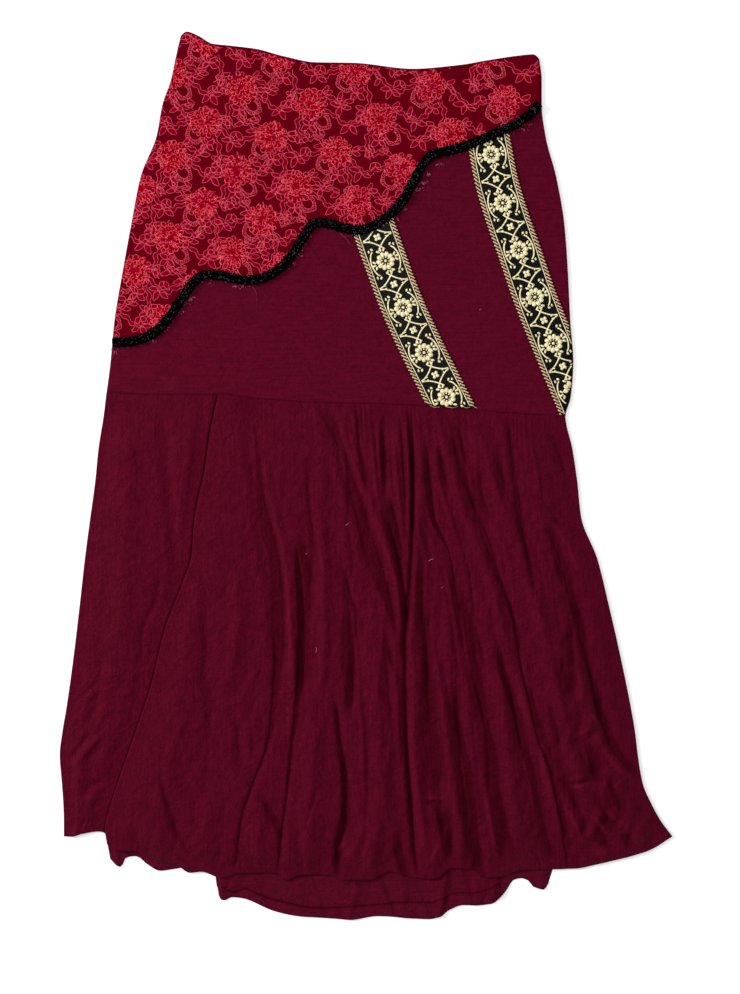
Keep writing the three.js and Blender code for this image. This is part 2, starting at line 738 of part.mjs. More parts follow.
// The plaited braid: its section swells and sways once for each plait
function buildBraid() {
  const first = BRAID_LINE[0].x;
  const last = BRAID_LINE[BRAID_LINE.length - 1].x;
  const line = evenSteps(400).map((t) => {
    const x = lerp(first, last, t);
    return new THREE.Vector3(x, braidDown(x), 0);
  });
  const path = new THREE.CatmullRomCurve3(line);
  path.arcLengthDivisions = 800;
  const plaits = Math.round(path.getLength() / BRAID_PITCH);
  const sides = 6;
  const rings = evenSteps(plaits * 2).map((t, k) => {
    const middle = path.getPointAt(t);
    const heading = path.getTangentAt(t);
    const swell = k % 2 === 0 ? 0.8 : 1;
    const sway = (k % 4 === 1 ? 0.5 : 0) - (k % 4 === 3 ? 0.5 : 0);
    const rise = FRONT_MID + yokeRise(middle.x, middle.y) + BRAID_RISE;
    return Array.from({ length: sides }, (_, n) => {
      const angle = (2 * Math.PI * n) / sides + Math.PI / sides;
      const across = (BRAID_WIDTH / 2) * swell * Math.cos(angle) / Math.cos(Math.PI / sides) + sway;
      const raised = (BRAID_HEIGHT / 2) * Math.sin(angle) / Math.cos(Math.PI / sides);
      return place(middle.x - heading.y * across, middle.y + heading.x * across, rise + raised);
    });
  });
  return loftSolid('braid_trim', 'blackBraid', rings);
}

const skirt = new THREE.Group();
const yokeHeight = (x, down) => FRONT_MID + yokeRise(x, down);
skirt.add(
  buildYoke('yoke_back', 'wineInside', 0, evenSteps(4), () => BACK_MID),
  buildYoke('yoke_front', 'wineCloth', YOKE_FRONT_DROP, evenSteps(12), yokeHeight),
  buildFlounceBack(),
  buildHemTurnup(),
  buildFlounceLeft(),
  buildFlounceFront(),
  buildLace(),
  buildBraid(),
  buildRibbon('ribbon_centre', RIBBON_CENTRE_SECTIONS),
  buildRibbon('ribbon_side', RIBBON_SIDE_SECTIONS),
);

export default skirt;
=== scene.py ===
"""Midi skirt laid flat on its back, dressed for rendering.

A hip yoke carries a corded lace overlay, a scalloped gimp braid and two figured ribbons. Below a
dropped seam hangs a gathered flounce whose front laps over its left panel in a rolled pleat.
Every table gives places on the layout board in millimetres: x runs to the right and down runs
towards the hem. The board is turned into the row frame, in metres, by one function.
"""

from __future__ import annotations

import logging
import math
import random
from dataclasses import dataclass, field
from enum import Enum
from typing import Callable, Iterable, Sequence

import bpy
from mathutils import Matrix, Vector
import numpy as np


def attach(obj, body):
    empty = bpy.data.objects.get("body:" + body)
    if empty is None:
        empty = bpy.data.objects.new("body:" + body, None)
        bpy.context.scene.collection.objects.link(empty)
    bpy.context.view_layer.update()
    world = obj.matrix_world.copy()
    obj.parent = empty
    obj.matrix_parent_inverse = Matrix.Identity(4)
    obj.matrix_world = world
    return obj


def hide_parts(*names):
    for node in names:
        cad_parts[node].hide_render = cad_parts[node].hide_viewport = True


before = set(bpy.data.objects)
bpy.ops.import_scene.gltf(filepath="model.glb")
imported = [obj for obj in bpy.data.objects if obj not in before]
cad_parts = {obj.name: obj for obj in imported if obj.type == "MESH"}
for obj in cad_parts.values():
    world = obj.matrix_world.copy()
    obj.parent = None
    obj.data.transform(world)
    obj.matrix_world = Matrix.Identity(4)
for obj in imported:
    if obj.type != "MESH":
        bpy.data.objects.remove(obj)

log = logging.getLogger("skirt")

MM = 0.001
BOARD_LEFT = 60.2
BOARD_TOP = 31.6
HEM_WIDTH = 612.0
SKIRT_LENGTH = 888.0
# Heights of the layers' middles above the floor and rises above the yoke
FRONT_MID = 2.1
PLEAT_MID = 3.6
LACE_RISE = 1.4
RIBBON_RISE = 1.4
BRAID_RISE = 3.3

# Gaps, bends and walls
SEAM_GAP = 0.3
PLEAT_BEND_RADIUS = 1.6
PLEAT_RETURN = 13.0
PLEAT_TUCK = 18.0
CLOTH = 0.7
NET = 0.35
HEM_STITCH_DEPTH = 10.5

# Left and right ends: the waist's x, the yoke's lower corners down, the flounce's upper corners down
WAIST_SPAN = (181.0, 539.0)
YOKE_FEET = (391.0, 415.0)
FLOUNCE_HEADS = (391.5, 416.0)

Array = np.ndarray
Rows = Sequence[tuple[float, float]]


def hex_to_linear(code: str) -> tuple[float, float, float, float]:
    """Turn an sRGB hex colour into linear RGBA.

    Args:
        code: Six hex digits, with or without a leading hash.

    Returns:
        Linear red, green, blue and an alpha of one.
    """
    digits = code.lstrip("#")
    parts = [int(digits[k : k + 2], 16) / 255 for k in (0, 2, 4)]
    linear = [p / 12.92 if p <= 0.04045 else ((p + 0.055) / 1.055) ** 2.4 for p in parts]
    return linear[0], linear[1], linear[2], 1.0


def smoothstep(value: Array | float, low: float, high: float) -> Array | float:
    """Ease from 0 at low to 1 at high."""
    t = np.clip((value - low) / (high - low), 0.0, 1.0)
    return t * t * (3 - 2 * t)


def mix(a: Array | float, b: Array | float, t: Array | float) -> Array | float:
    """Blend from a at t = 0 to b at t = 1."""
    return a + (b - a) * t


class SmoothLine:
    """A smooth curve through table rows that never overshoots them."""

    def __init__(self, rows: Rows) -> None:
        """Store the rows and work out a tangent for each.

        Args:
            rows: Pairs of a rising place and the value there.
        """
        self.at = np.array([row[0] for row in rows], float)
        self.to = np.array([row[1] for row in rows], float)
        self.span = np.diff(self.at)
        slope = np.diff(self.to) / self.span
        tangent = np.zeros(len(rows))
        tangent[0], tangent[-1] = slope[0], slope[-1]
        for k in range(1, len(rows) - 1):
            if slope[k - 1] * slope[k] > 0:
                before = self.span[k - 1] + 2 * self.span[k]
                after = 2 * self.span[k - 1] + self.span[k]
                tangent[k] = (before + after) / (before / slope[k] + after / slope[k - 1])
        self.tangent = tangent

    def __call__(self, place: Array | float) -> Array:
        """Give the value at each place, held at the table's ends."""
        inside = np.clip(np.asarray(place, float), self.at[0], self.at[-1])
        k = np.clip(np.searchsorted(self.at, inside) - 1, 0, len(self.span) - 1)
        u = (inside - self.at[k]) / self.span[k]
        near = self.to[k] * (1 + 2 * u) + self.tangent[k] * self.span[k] * u
        far = self.to[k + 1] * (3 - 2 * u) + self.tangent[k + 1] * self.span[k] * (u - 1)
        return near * (1 - u) ** 2 + far * u * u


def flipped(rows: Rows) -> Rows:
    """Swap the columns of a two-column table."""
    return [(b, a) for a, b in rows]


def line_normals(x: Array, down: Array, closed: bool = False) -> tuple[Array, Array]:
    """Give the unit normal of a line at each of its places."""
    if closed:
        dx, dd = np.roll(x, -1) - np.roll(x, 1), np.roll(down, -1) - np.roll(down, 1)
    else:
        dx, dd = np.gradient(x), np.gradient(down)
    size = np.maximum(np.hypot(dx, dd), 1e-6)
    return -dd / size, dx / size


def line_length(x: Array, down: Array) -> Array:
    """Give the length run along a line up to each of its places."""
    return np.concatenate([[0], np.cumsum(np.hypot(np.diff(x), np.diff(down)))])


def eased(values: Array, rounds: int) -> Array:
    """Smooth a line's values between its fixed ends."""
    for _ in range(rounds):
        values[1:-1] = (values[:-2] + 2 * values[1:-1] + values[2:]) / 4
    return values


def unbroken(keep: Array) -> Iterable[slice]:
    """Give each unbroken stretch of two or more places that are kept."""
    edges = np.flatnonzero(np.diff(np.concatenate([[0], keep.astype(int), [0]])))
    return [slice(start, stop) for start, stop in zip(edges[::2], edges[1::2]) if stop - start > 1]


# Outline of the laid skirt: down, left edge, right edge
SIDE_LEVELS = [
    (31, 181.5, 535),
    (59, 175, 539),
    (80, 170.7, 541.5),
    (105, 162, 541.5),
    (137, 156, 545.5),
    (177, 140.3, 556),
    (223, 131.3, 564),
    (269, 123, 567.5),
    (320, 114.6, 570),
    (361, 110.8, 573),
    (395, 106.5, 570.5),
    (416, 104, 565),
    (449, 98.8, 572),
    (482, 95.5, 577),
    (518, 90.6, 581),
    (559, 85.2, 597),
    (603, 80.3, 608),
    (660, 73.5, 621),
    (704, 67.4, 630),
    (733, 62.6, 635),
    (754, 60.2, 637.5),
    (783, 62.3, 642.5),
    (803, 63.7, 651),
    (821, 64.3, 661),
    (836, 64.3, 672.2),
]

# Edges that cross the skirt: x, down
WAIST_LINE = [
    (181, 36), (186, 31.6), (199.5, 36.6), (211, 43.6), (229, 45.7), (256, 49), (282, 56),
    (316, 62.5), (353, 63), (413, 69), (461, 65), (486, 60.7), (519, 55.7), (534, 54.4), (539, 59),
]
DROPPED_SEAM = [
    (104, 391.5), (150, 394), (205, 394), (262, 398.5), (320, 402), (400, 404), (450, 408),
    (505, 412), (569, 416),
]
LEFT_HEM = [(64, 836), (72, 836), (83, 833), (99, 831), (104, 832), (109, 838), (126, 842)]
FRONT_HEM = [
    (108, 843), (119, 850), (134, 850), (148, 856), (163, 860.5), (178, 865), (190, 872),
    (202, 871), (221, 877), (240, 873), (268, 872), (277, 873), (287, 880), (299, 875),
    (317, 874), (332, 875), (344, 880), (370, 880), (382, 874), (391, 871), (405, 875.5),
    (434, 879), (452, 868), (469, 868), (487, 877), (505, 875.5), (514, 871), (534, 869),
    (572, 868), (608, 861), (648, 850), (672, 836),
]
BACK_HEM = [
    (65, 831), (98, 826), (107, 836), (109, 857), (121, 866.5), (126.5, 857), (136, 856),
    (148, 864.5), (160, 870.6), (176, 868.5), (186, 867), (216, 869), (219, 897), (224.5, 900),
    (232, 897), (242, 898), (274.5, 911), (295, 915.5), (336, 918.6), (350, 919.6), (378, 916),
    (429, 919), (439, 917), (449, 910), (463, 905), (478, 905), (492, 903.5), (506, 890),
    (513, 880), (521, 878), (527.5, 880), (534, 887), (543, 889), (548.5, 883), (551, 868),
    (572, 864), (608, 857), (648, 846), (669, 832),
]
TURNUP_EDGE = [
    (221, 885.5), (234, 891), (245, 888), (260, 894), (279, 900), (319, 907), (342, 906),
    (380, 903.5), (407, 901), (430, 902), (445, 897), (456, 892), (470, 892), (490, 888), (500, 882),
]
BRAID_LINE = [
    (113, 343), (123, 342.5), (136, 341), (150, 336), (161, 328), (171, 316), (188, 291),
    (196, 281), (204, 275.5), (214, 275.5), (231, 278.5), (248, 281), (261, 279.5), (272, 274.5),
    (284, 266), (292, 256), (306, 234), (312, 225.5), (320, 223), (332, 225.5), (345, 229.5),
    (358, 231.5), (371, 228), (383, 221), (393, 212.5), (403, 201), (418, 174), (424.5, 163),
    (434, 155), (449, 152), (466, 147), (499, 133), (516, 124.5), (530.5, 114.5), (538.5, 104.5),
]

# Lines of the flounce's folded edge and of the ribbons' middles: down, x for the edge, else x, down
PLEAT_EDGE = [
    (392, 219), (430, 211), (470, 205), (520, 195), (556, 192), (583, 183), (628, 166),
    (685, 152), (728, 138), (780, 120), (812, 110), (831, 106), (847, 108),
]
RIBBON_CENTRE_LINE = (
    (366, 207), (377, 237.5), (385.5, 261.6), (394, 285), (403, 308), (413, 330), (423.7, 352.6),
    (434.4, 373.7), (445.5, 395.5), (456, 416),
)
RIBBON_SIDE_LINE = (
    (483, 112), (491, 155.6), (496, 181), (502.5, 204), (510, 227), (519, 252), (527, 276),
    (535, 299), (544, 322), (553.7, 345.5), (563, 368), (574, 394), (583, 416), (590, 432),
)


@dataclass(frozen=True)
class Fold:
    """One fold of the cloth, run down the skirt.

    Attributes:
        rise: Height at its middle in mm; below zero for a trough.
        left: Reach to its left in mm.
        right: Reach to its right in mm.
        run: Places (x, down) that it passes through, from top to bottom.
        lean: How far the cloth beside a trough hangs over it, in mm; the right side hangs over
            to the left where it is above zero, the left side to the right where it is below.
        fade: Length over which each end dies away, in mm.
    """

    rise: float
    left: float
    right: float
    run: tuple[tuple[float, float], ...]
    lean: float = 0.0
    fade: float = 30.0

    def measure(self, x: Array, down: Array) -> tuple[Array, Array]:
        """Give the sideways reach (-1 to 1 inside the fold) and the strength along the run."""
        line = SmoothLine(flipped(self.run))
        first, last = self.run[0][1], self.run[-1][1]
        fade = min(self.fade, (last - first) / 2)
        strength = smoothstep(down, first, first + fade) * smoothstep(last - down, 0.0, fade)
        offset = x - line(down)
        return offset / np.where(offset < 0, self.left, self.right), strength

    def height(self, x: Array, down: Array) -> Array:
        """Give the fold's height at each place."""
        u, strength = self.measure(x, down)
        inside = np.clip(1 - np.abs(u) ** 1.35, 0.0, 1.0)
        return self.rise * inside**1.6 * strength

    def shift(self, x: Array, down: Array) -> Array:
        """Give the sideways shift of the cloth that hangs over the fold."""
        if not self.lean:
            return np.zeros_like(x)
        u, strength = self.measure(x, down)
        side = u * math.copysign(1.0, self.lean)
        over = smoothstep(side, 0.12, 0.6) * (1 - smoothstep(side, 0.6, 2.1))
        return -self.lean * over * strength


@dataclass(frozen=True)
class Crease:
    """A short straight crease or facet edge in any direction.

    Attributes:
        rise: Height at its middle in mm; below zero for a dent.
        width: Reach to each side in mm.
        start: One end (x, down).
        end: The other end (x, down).
    """

    rise: float
    width: float
    start: tuple[float, float]
    end: tuple[float, float]

    def height(self, x: Array, down: Array) -> Array:
        """Give the crease's height at each place."""
        (x0, d0), (x1, d1) = self.start, self.end
        length = math.hypot(x1 - x0, d1 - d0)
        along = ((x - x0) * (x1 - x0) + (down - d0) * (d1 - d0)) / length
        aside = ((x - x0) * (d1 - d0) - (down - d0) * (x1 - x0)) / length
        u = np.clip(np.abs(aside) / self.width, 0.0, 1.0)
        v = np.clip(np.abs(along / length - 0.5) * 2, 0.0, 1.0)
        return self.rise * (1 - u**1.25) ** 1.6 * (1 - v**3) ** 2


@dataclass(frozen=True)
class Facet:
    """A long flat facet of a fold that is turned away from the light.

    Attributes:
        drop: How much lower its right edge lies than its left one, in mm.
        tone: How much darker its hollow is painted, as painted shade, from 0 to 1.
        left: Places (x, down) of its left edge, from top to bottom.
        right: Places (x, down) of its right edge, from top to bottom.
        rise_back: Length over which the cloth rises again past its right edge, in mm.
    """

    drop: float
    tone: float
    left: tuple[tuple[float, float], ...]
    right: tuple[tuple[float, float], ...]
    rise_back: float = 13.0

    def measure(self, x: Array, down: Array) -> tuple[Array, Array, Array]:
        """Give the distances in mm past the left edge and past the right edge, and the strength."""
        first = min(self.left[0][1], self.right[0][1])
        last = max(self.left[-1][1], self.right[-1][1])
        fade = min(22.0, (last - first) / 3)
        strength = smoothstep(down, first, first + fade) * smoothstep(last - down, 0.0, fade)
        start = SmoothLine(flipped(self.left))(down)
        end = np.maximum(SmoothLine(flipped(self.right))(down), start + 1.5)
        return x - start, x - end, strength

    def height(self, x: Array, down: Array) -> Array:
        """Give the facet's height at each place; a narrow facet drops less."""
        inside, past, strength = self.measure(x, down)
        width = inside - past
        drop = np.minimum(self.drop, 0.3 * width)
        return -drop * strength * (np.clip(inside / width, 0, 1) - np.clip(past / self.rise_back, 0, 1))

    def shade(self, x: Array, down: Array) -> Array:
        """Give the painted shade of the facet at each place."""
        inside, past, strength = self.measure(x, down)
        across = np.clip(inside / (inside - past), 0, 1)
        edge = smoothstep(inside, -0.6, 2.2) * (1 - smoothstep(past, -1.6, 0.6))
        return 0.96 * self.tone * strength * edge * mix(1.0, 0.7, across)


@dataclass(frozen=True)
class Crest:
    """A sharp crest of the cloth that catches the light.

    Attributes:
        tone: How much lighter its line is painted, as a painted highlight, from 0 to 1.
        half: Half its width in mm.
        rise: Its height in mm.
        line: Board points along it.
    """

    tone: float
    half: float
    rise: float
    line: tuple[tuple[float, float], ...]

    def closeness(self, x: Array, down: Array) -> Array:
        """Give 1 on the line, falling to 0 beside it and towards its ends."""
        nearest = np.full(np.shape(x), 1e6)
        along = np.zeros(np.shape(x))
        gone = 0.0
        for (ax, ay), (bx, by) in zip(self.line, self.line[1:]):
            length = math.hypot(bx - ax, by - ay)
            share = np.clip(((x - ax) * (bx - ax) + (down - ay) * (by - ay)) / length**2, 0, 1)
            away = np.hypot(x - ax - share * (bx - ax), down - ay - share * (by - ay))
            along = np.where(away < nearest, gone + share * length, along)
            nearest = np.minimum(nearest, away)
            gone += length
        fade = min(0.35 * gone, 45.0)
        ends = smoothstep(along, 0, fade) * smoothstep(gone - along, 0, fade)
        return np.exp(-((nearest / self.half) ** 2)) * ends


# Crests: a small real rise along each line, and a painted highlight on it.
FRONT_CRESTS = (
    Crest(0.22, 1.8, 0.3, ((590, 710), (598, 726))),
    Crest(0.22, 1.8, 0.3, ((569, 741), (575, 734), (582, 731), (588, 730))),
    Crest(0.22, 1.6, 0.3, ((601, 789), (604, 780), (608, 774))),
    Crest(0.2, 1.7, 0.3, ((603, 790), (609, 800), (617, 812), (622, 821))),
    Crest(0.22, 1.7, 0.3, ((591, 811), (598, 822), (606, 833), (610, 838))),
    Crest(0.22, 1.6, 0.3, ((610, 836), (616, 828), (623, 821))),
    Crest(0.18, 2.6, 0.24, ((588, 728), (600, 744), (611, 760), (621, 772), (633, 781))),
    Crest(0.14, 1.8, 0.18, ((557, 793), (568, 812), (578, 830), (584, 846))),
    Crest(0.18, 1.7, 0.24, ((566, 786), (578, 785), (586, 781), (592, 776))),
    Crest(0.15, 2.8, 0.24,
          ((512, 664), (521, 700), (532, 732), (541, 762), (549, 794), (557, 824), (565, 858))),
    Crest(0.11, 1.8, 0.12, ((544, 742), (553, 768), (559, 790))),
    Crest(0.14, 2.4, 0.18, ((578, 704), (582, 688), (579, 668))),
    Crest(0.14, 4.5, 0.18, ((590, 852), (608, 848))),
    Crest(0.16, 2.0, 0.24, ((423, 800), (436, 797), (450, 799))),
    Crest(0.11, 7.0, 0.24, ((424, 822), (430, 845), (432, 868))),
    Crest(0.13, 2.4, 0.18, ((478, 745), (484, 792), (492, 836), (498, 866))),
    Crest(0.11, 4.0, 0.24, ((508, 862), (534, 858))),
    Crest(0.11, 4.0, 0.18, ((346, 838), (350, 858))),
    Crest(0.12, 2.2, 0.18, ((268, 468), (274, 505), (284, 545), (288, 590), (290, 640), (289, 690))),
    Crest(0.11, 2.0, 0.18, ((320, 545), (323, 575))),
    Crest(0.11, 2.2, 0.18, ((350, 455), (362, 492), (376, 528), (392, 566), (404, 610))),
    Crest(0.09, 2.0, 0.12, ((470, 480), (488, 520), (508, 560))),
    Crest(0.09, 2.6, 0.12, ((411, 660), (412, 740), (418, 812), (424, 868))),
    Crest(0.1, 2.0, 0.12, ((548, 508), (566, 546), (584, 578))),
    Crest(0.09, 2.2, 0.12, ((286, 745), (281, 810), (286, 878))),
)

# Facets: real slopes of the folds, each with painted shade on its face.
FRONT_FACETS = (
    Facet(3.0, 0.38,
          ((241, 422), (254, 437), (256, 455), (256, 495), (261, 535), (268, 557), (270, 595),
           (271, 640), (274, 680), (272, 712), (266, 752)),
          ((257, 424), (260, 452), (264, 470), (266, 495), (275, 530), (281, 555), (284, 582),
           (285, 640), (281, 680), (277, 712), (269, 752))),
    Facet(3.0, 0.46, ((298, 528), (294, 570), (296, 607), (296, 640), (295, 673), (297, 700)),
          ((300, 528), (313, 575), (313, 607), (312, 640), (310, 673), (306, 700))),
    Facet(2.8, 0.34, ((341, 612), (340, 656), (343, 684), (349, 722)),
          ((359, 612), (357, 650), (355, 684), (352, 722))),
    Facet(2.4, 0.42, ((340, 564), (346, 587), (350, 607), (356, 626)),
          ((344, 564), (352, 590), (359, 610), (360, 626))),
    Facet(3.0, 0.44, ((334, 692), (336, 726), (340, 757), (341, 797), (338, 819), (333, 840), (333, 885)),
          ((335, 692), (341, 726), (347, 757), (352, 785), (353, 819), (345, 840), (342, 885))),
    Facet(3.6, 0.42,
          ((313, 400), (320, 417), (330, 435), (340, 455), (345, 470), (350, 500), (356, 522),
           (360, 545), (367, 565), (375, 585), (385, 607), (394, 640)),
          ((333, 400), (337, 422), (344, 442), (348, 457), (354, 475), (360, 492), (367, 512),
           (372, 532), (380, 555), (386, 577), (392, 602), (399, 640))),
    Facet(1.8, 0.4, ((352, 404), (354, 425), (358, 446)), ((360, 404), (362, 425), (361, 446))),
    Facet(1.4, 0.36, ((364, 402), (368, 430), (371, 458)), ((368, 402), (372, 430), (373, 458)), 8.0),
    Facet(2.2, 0.44, ((384, 402), (379, 432), (381, 470), (383, 500)),
          ((389, 402), (386, 432), (388, 465), (388, 500)), 8.0),
    Facet(4.0, 0.66, ((382, 492), (387, 520), (392, 545), (400, 582), (403, 600), (404, 650)),
          ((388, 492), (397, 520), (402, 550), (404, 582), (407, 600), (406, 650)), 9.0),
    Facet(1.4, 0.42, ((396, 410), (400, 445), (402, 480), (405, 532)),
          ((399, 410), (403, 445), (405, 480), (407, 532)), 6.0),
    Facet(3.2, 0.62, ((405, 404), (407, 432), (408, 457), (409, 495), (409, 545), (407, 595), (404, 640)),
          ((411, 404), (414, 432), (415, 465), (416, 495), (412, 545), (409, 595), (407, 640)), 8.0),
    Facet(2.0, 0.3,
          ((424, 438), (425, 465), (424, 485), (426, 507), (432, 525), (440, 540), (447, 550),
           (450, 570), (454, 595), (460, 620), (465, 640)),
          ((428, 438), (431, 465), (434, 485), (437, 507), (439, 525), (446, 540), (452, 556),
           (457, 575), (464, 595), (467, 620), (473, 640))),
    Facet(3.6, 0.5,
          ((458, 590), (464, 628), (467, 656), (474, 693), (482, 726), (484, 745), (484, 775),
           (487, 800), (494, 838), (500, 864)),
          ((466, 590), (473, 628), (478, 656), (486, 693), (492, 726), (499, 755), (501, 790),
           (507, 820), (514, 845), (518, 864))),
    Facet(1.4, 0.36, ((460, 515), (464, 545), (468, 570), (471, 595), (477, 627), (482, 668)),
          ((463, 515), (467, 545), (471, 570), (475, 595), (480, 627), (485, 668)), 8.0),
    Facet(3.2, 0.42,
          ((441, 408), (450, 435), (455, 455), (460, 472), (470, 502), (477, 520), (485, 542),
           (492, 565), (500, 587), (508, 610), (514, 635), (519, 665)),
          ((448, 408), (460, 435), (465, 460), (467, 477), (475, 502), (482, 520), (490, 542),
           (496, 565), (505, 587), (513, 610), (520, 635), (524, 665))),
    Facet(3.2, 0.5,
          ((493, 636), (497, 670), (504, 693), (512, 718), (518, 746), (526, 768), (532, 797),
           (537, 839), (542, 862)),
          ((497, 636), (511, 676), (518, 698), (525, 724), (529, 746), (535, 768), (540, 797),
           (549, 839), (556, 862))),
    Facet(2.4, 0.28, ((417, 600), (420, 656), (420, 712), (422, 757), (423, 796)),
          ((428, 600), (433, 656), (438, 693), (443, 740), (447, 796))),
    Facet(3.2, 0.6, ((434, 800), (439, 835), (445, 868)), ((452, 800), (453, 835), (452, 868)), 9.0),
    Facet(4.2, 0.62, ((450, 684), (456, 735), (464, 768), (468, 802), (470, 839), (471, 885)),
          ((455, 684), (466, 735), (473, 768), (477, 802), (481, 839), (486, 885)), 12.0),
    Facet(3.0, 0.56, ((388, 828), (394, 856), (401, 885)), ((397, 828), (405, 856), (409, 885)), 9.0),
    Facet(2.0, 0.3, ((561, 618), (560, 656), (564, 684), (571, 704)),
          ((572, 618), (578, 656), (577, 684), (573, 704)), 9.0),
    Facet(3.6, 0.56,
          ((566, 590), (575, 622), (581, 650), (588, 679), (593, 707), (602, 732), (613, 754),
           (624, 768), (638, 786)),
          ((573, 590), (584, 622), (590, 650), (598, 682), (607, 715), (614, 735), (626, 757),
           (636, 768), (644, 786))),
    Facet(2.2, 0.5, ((580, 734), (584, 750), (588, 765), (593, 788)),
          ((586, 734), (595, 750), (602, 765), (602, 788)), 8.0),
    Facet(2.0, 0.6, ((603, 770), (606, 786), (611, 800), (618, 822)),
          ((608, 770), (614, 786), (619, 800), (622, 822)), 8.0),
    Facet(1.8, 0.34, ((595, 790), (594, 805), (598, 816)), ((602, 790), (607, 805), (610, 816)), 8.0),
    Facet(1.8, 0.52, ((594, 812), (600, 822), (607, 836)), ((602, 812), (618, 822), (612, 836)), 8.0),
    Facet(1.4, 0.36, ((591, 822), (592, 836), (597, 848)), ((596, 822), (606, 836), (606, 848)), 8.0),
    Facet(1.4, 0.34, ((616, 826), (620, 838), (626, 852)), ((622, 826), (630, 838), (633, 852)), 8.0),
    Facet(1.2, 0.3, ((630, 817), (640, 815), (650, 812)), ((634, 805), (646, 807), (658, 806)), 8.0),
    Facet(2.4, 0.5, ((521, 676), (532, 715), (542, 745), (551, 785), (558, 815), (567, 860)),
          ((527, 676), (539, 715), (549, 745), (558, 785), (565, 815), (574, 860)), 9.0),
    Facet(1.8, 0.32, ((545, 700), (549, 725), (553, 755), (558, 800)),
          ((550, 700), (557, 725), (562, 755), (566, 800)), 10.0),
    Facet(2.0, 0.5, ((403, 640), (403, 700), (404, 760), (408, 810), (411, 850), (416, 880)),
          ((409, 640), (409, 700), (410, 760), (414, 810), (417, 850), (423, 880)), 8.0),
    Facet(2.2, 0.46, ((255, 788), (266, 811), (272, 825), (278, 848)),
          ((261, 788), (273, 808), (278, 822), (281, 848)), 9.0),
    Facet(2.0, 0.36,
          ((504, 412), (505, 437), (510, 465), (512, 490), (515, 525), (521, 545), (527, 580),
           (532, 604)),
          ((509, 412), (513, 437), (516, 467), (520, 492), (522, 525), (527, 545), (533, 580),
           (536, 604))),
    Facet(2.4, 0.34, ((469, 460), (471, 490), (475, 512), (484, 528)),
          ((479, 460), (482, 490), (487, 507), (497, 528)), 9.0),
    Facet(1.4, 0.24, ((494, 460), (497, 480), (500, 500)), ((499, 460), (503, 480), (505, 500)), 8.0),
    Facet(2.0, 0.44, ((546, 424), (551, 445), (558, 462), (568, 494)),
          ((553, 424), (558, 445), (563, 462), (571, 494)), 8.0),
    Facet(3.0, 0.38, ((544, 518), (550, 550), (555, 572), (562, 590), (567, 620), (571, 646)),
          ((549, 518), (562, 550), (570, 567), (575, 590), (581, 620), (588, 646)), 12.0),
    Facet(1.2, 0.3, ((545, 502), (551, 516), (559, 530)), ((548, 502), (554, 514), (562, 528)), 6.0),
    Facet(1.4, 0.2, ((378, 620), (387, 655), (398, 690)), ((383, 620), (393, 655), (402, 690)), 7.0),
    Facet(1.0, 0.2, ((304, 448), (307, 500), (313, 540), (318, 570)),
          ((308, 448), (310, 500), (316, 540), (321, 570)), 8.0),
    Facet(1.0, 0.2, ((225, 704), (234, 716), (235, 740), (240, 770)),
          ((230, 704), (238, 716), (239, 740), (243, 770)), 8.0),
    Facet(1.2, 0.16, ((198, 560), (202, 640), (202, 676), (206, 704), (201, 775)),
          ((204, 560), (208, 640), (208, 676), (213, 704), (207, 775)), 12.0),
    Facet(1.6, 0.3, ((156, 768), (164, 800), (172, 826), (182, 852)),
          ((160, 768), (169, 800), (178, 826), (188, 852)), 12.0),
    Facet(2.0, 0.3, ((561, 770), (569, 800), (577, 826), (586, 850)),
          ((565, 770), (576, 800), (586, 826), (592, 850)), 8.0),
    Facet(1.6, 0.26, ((247, 730), (249, 745), (250, 758)), ((252, 730), (254, 745), (253, 758)), 8.0),
    Facet(1.6, 0.28, ((434, 440), (440, 470), (446, 500)), ((440, 440), (447, 470), (450, 500)), 8.0),
    Facet(1.6, 0.3, ((416, 560), (417, 600), (418, 640)), ((421, 560), (423, 600), (424, 640)), 8.0),
    Facet(1.2, 0.2, ((292, 820), (294, 850), (297, 885)), ((296, 820), (299, 850), (303, 885)), 8.0),
)

# Painted shade of creases across the back hem: place at 895 mm down, half width in mm, lean and tone.
TURNUP_CREASE_SHADES = (
    (233.0, 3.5, -0.5, 0.3),
    (262.0, 6.0, 0.3, 0.16),
    (300.0, 7.0, -0.2, 0.12),
    (318.0, 2.0, 0.3, 0.2),
    (358.0, 3.0, -0.3, 0.28),
    (387.0, 2.4, 0.4, 0.26),
    (406.0, 2.6, -0.2, 0.24),
    (421.0, 2.0, 0.5, 0.2),
    (445.0, 2.6, -0.16, 0.55),
    (470.0, 3.0, 0.2, 0.3),
    (484.0, 2.2, -0.3, 0.26),
    (497.0, 3.4, -0.2, 0.6),
)

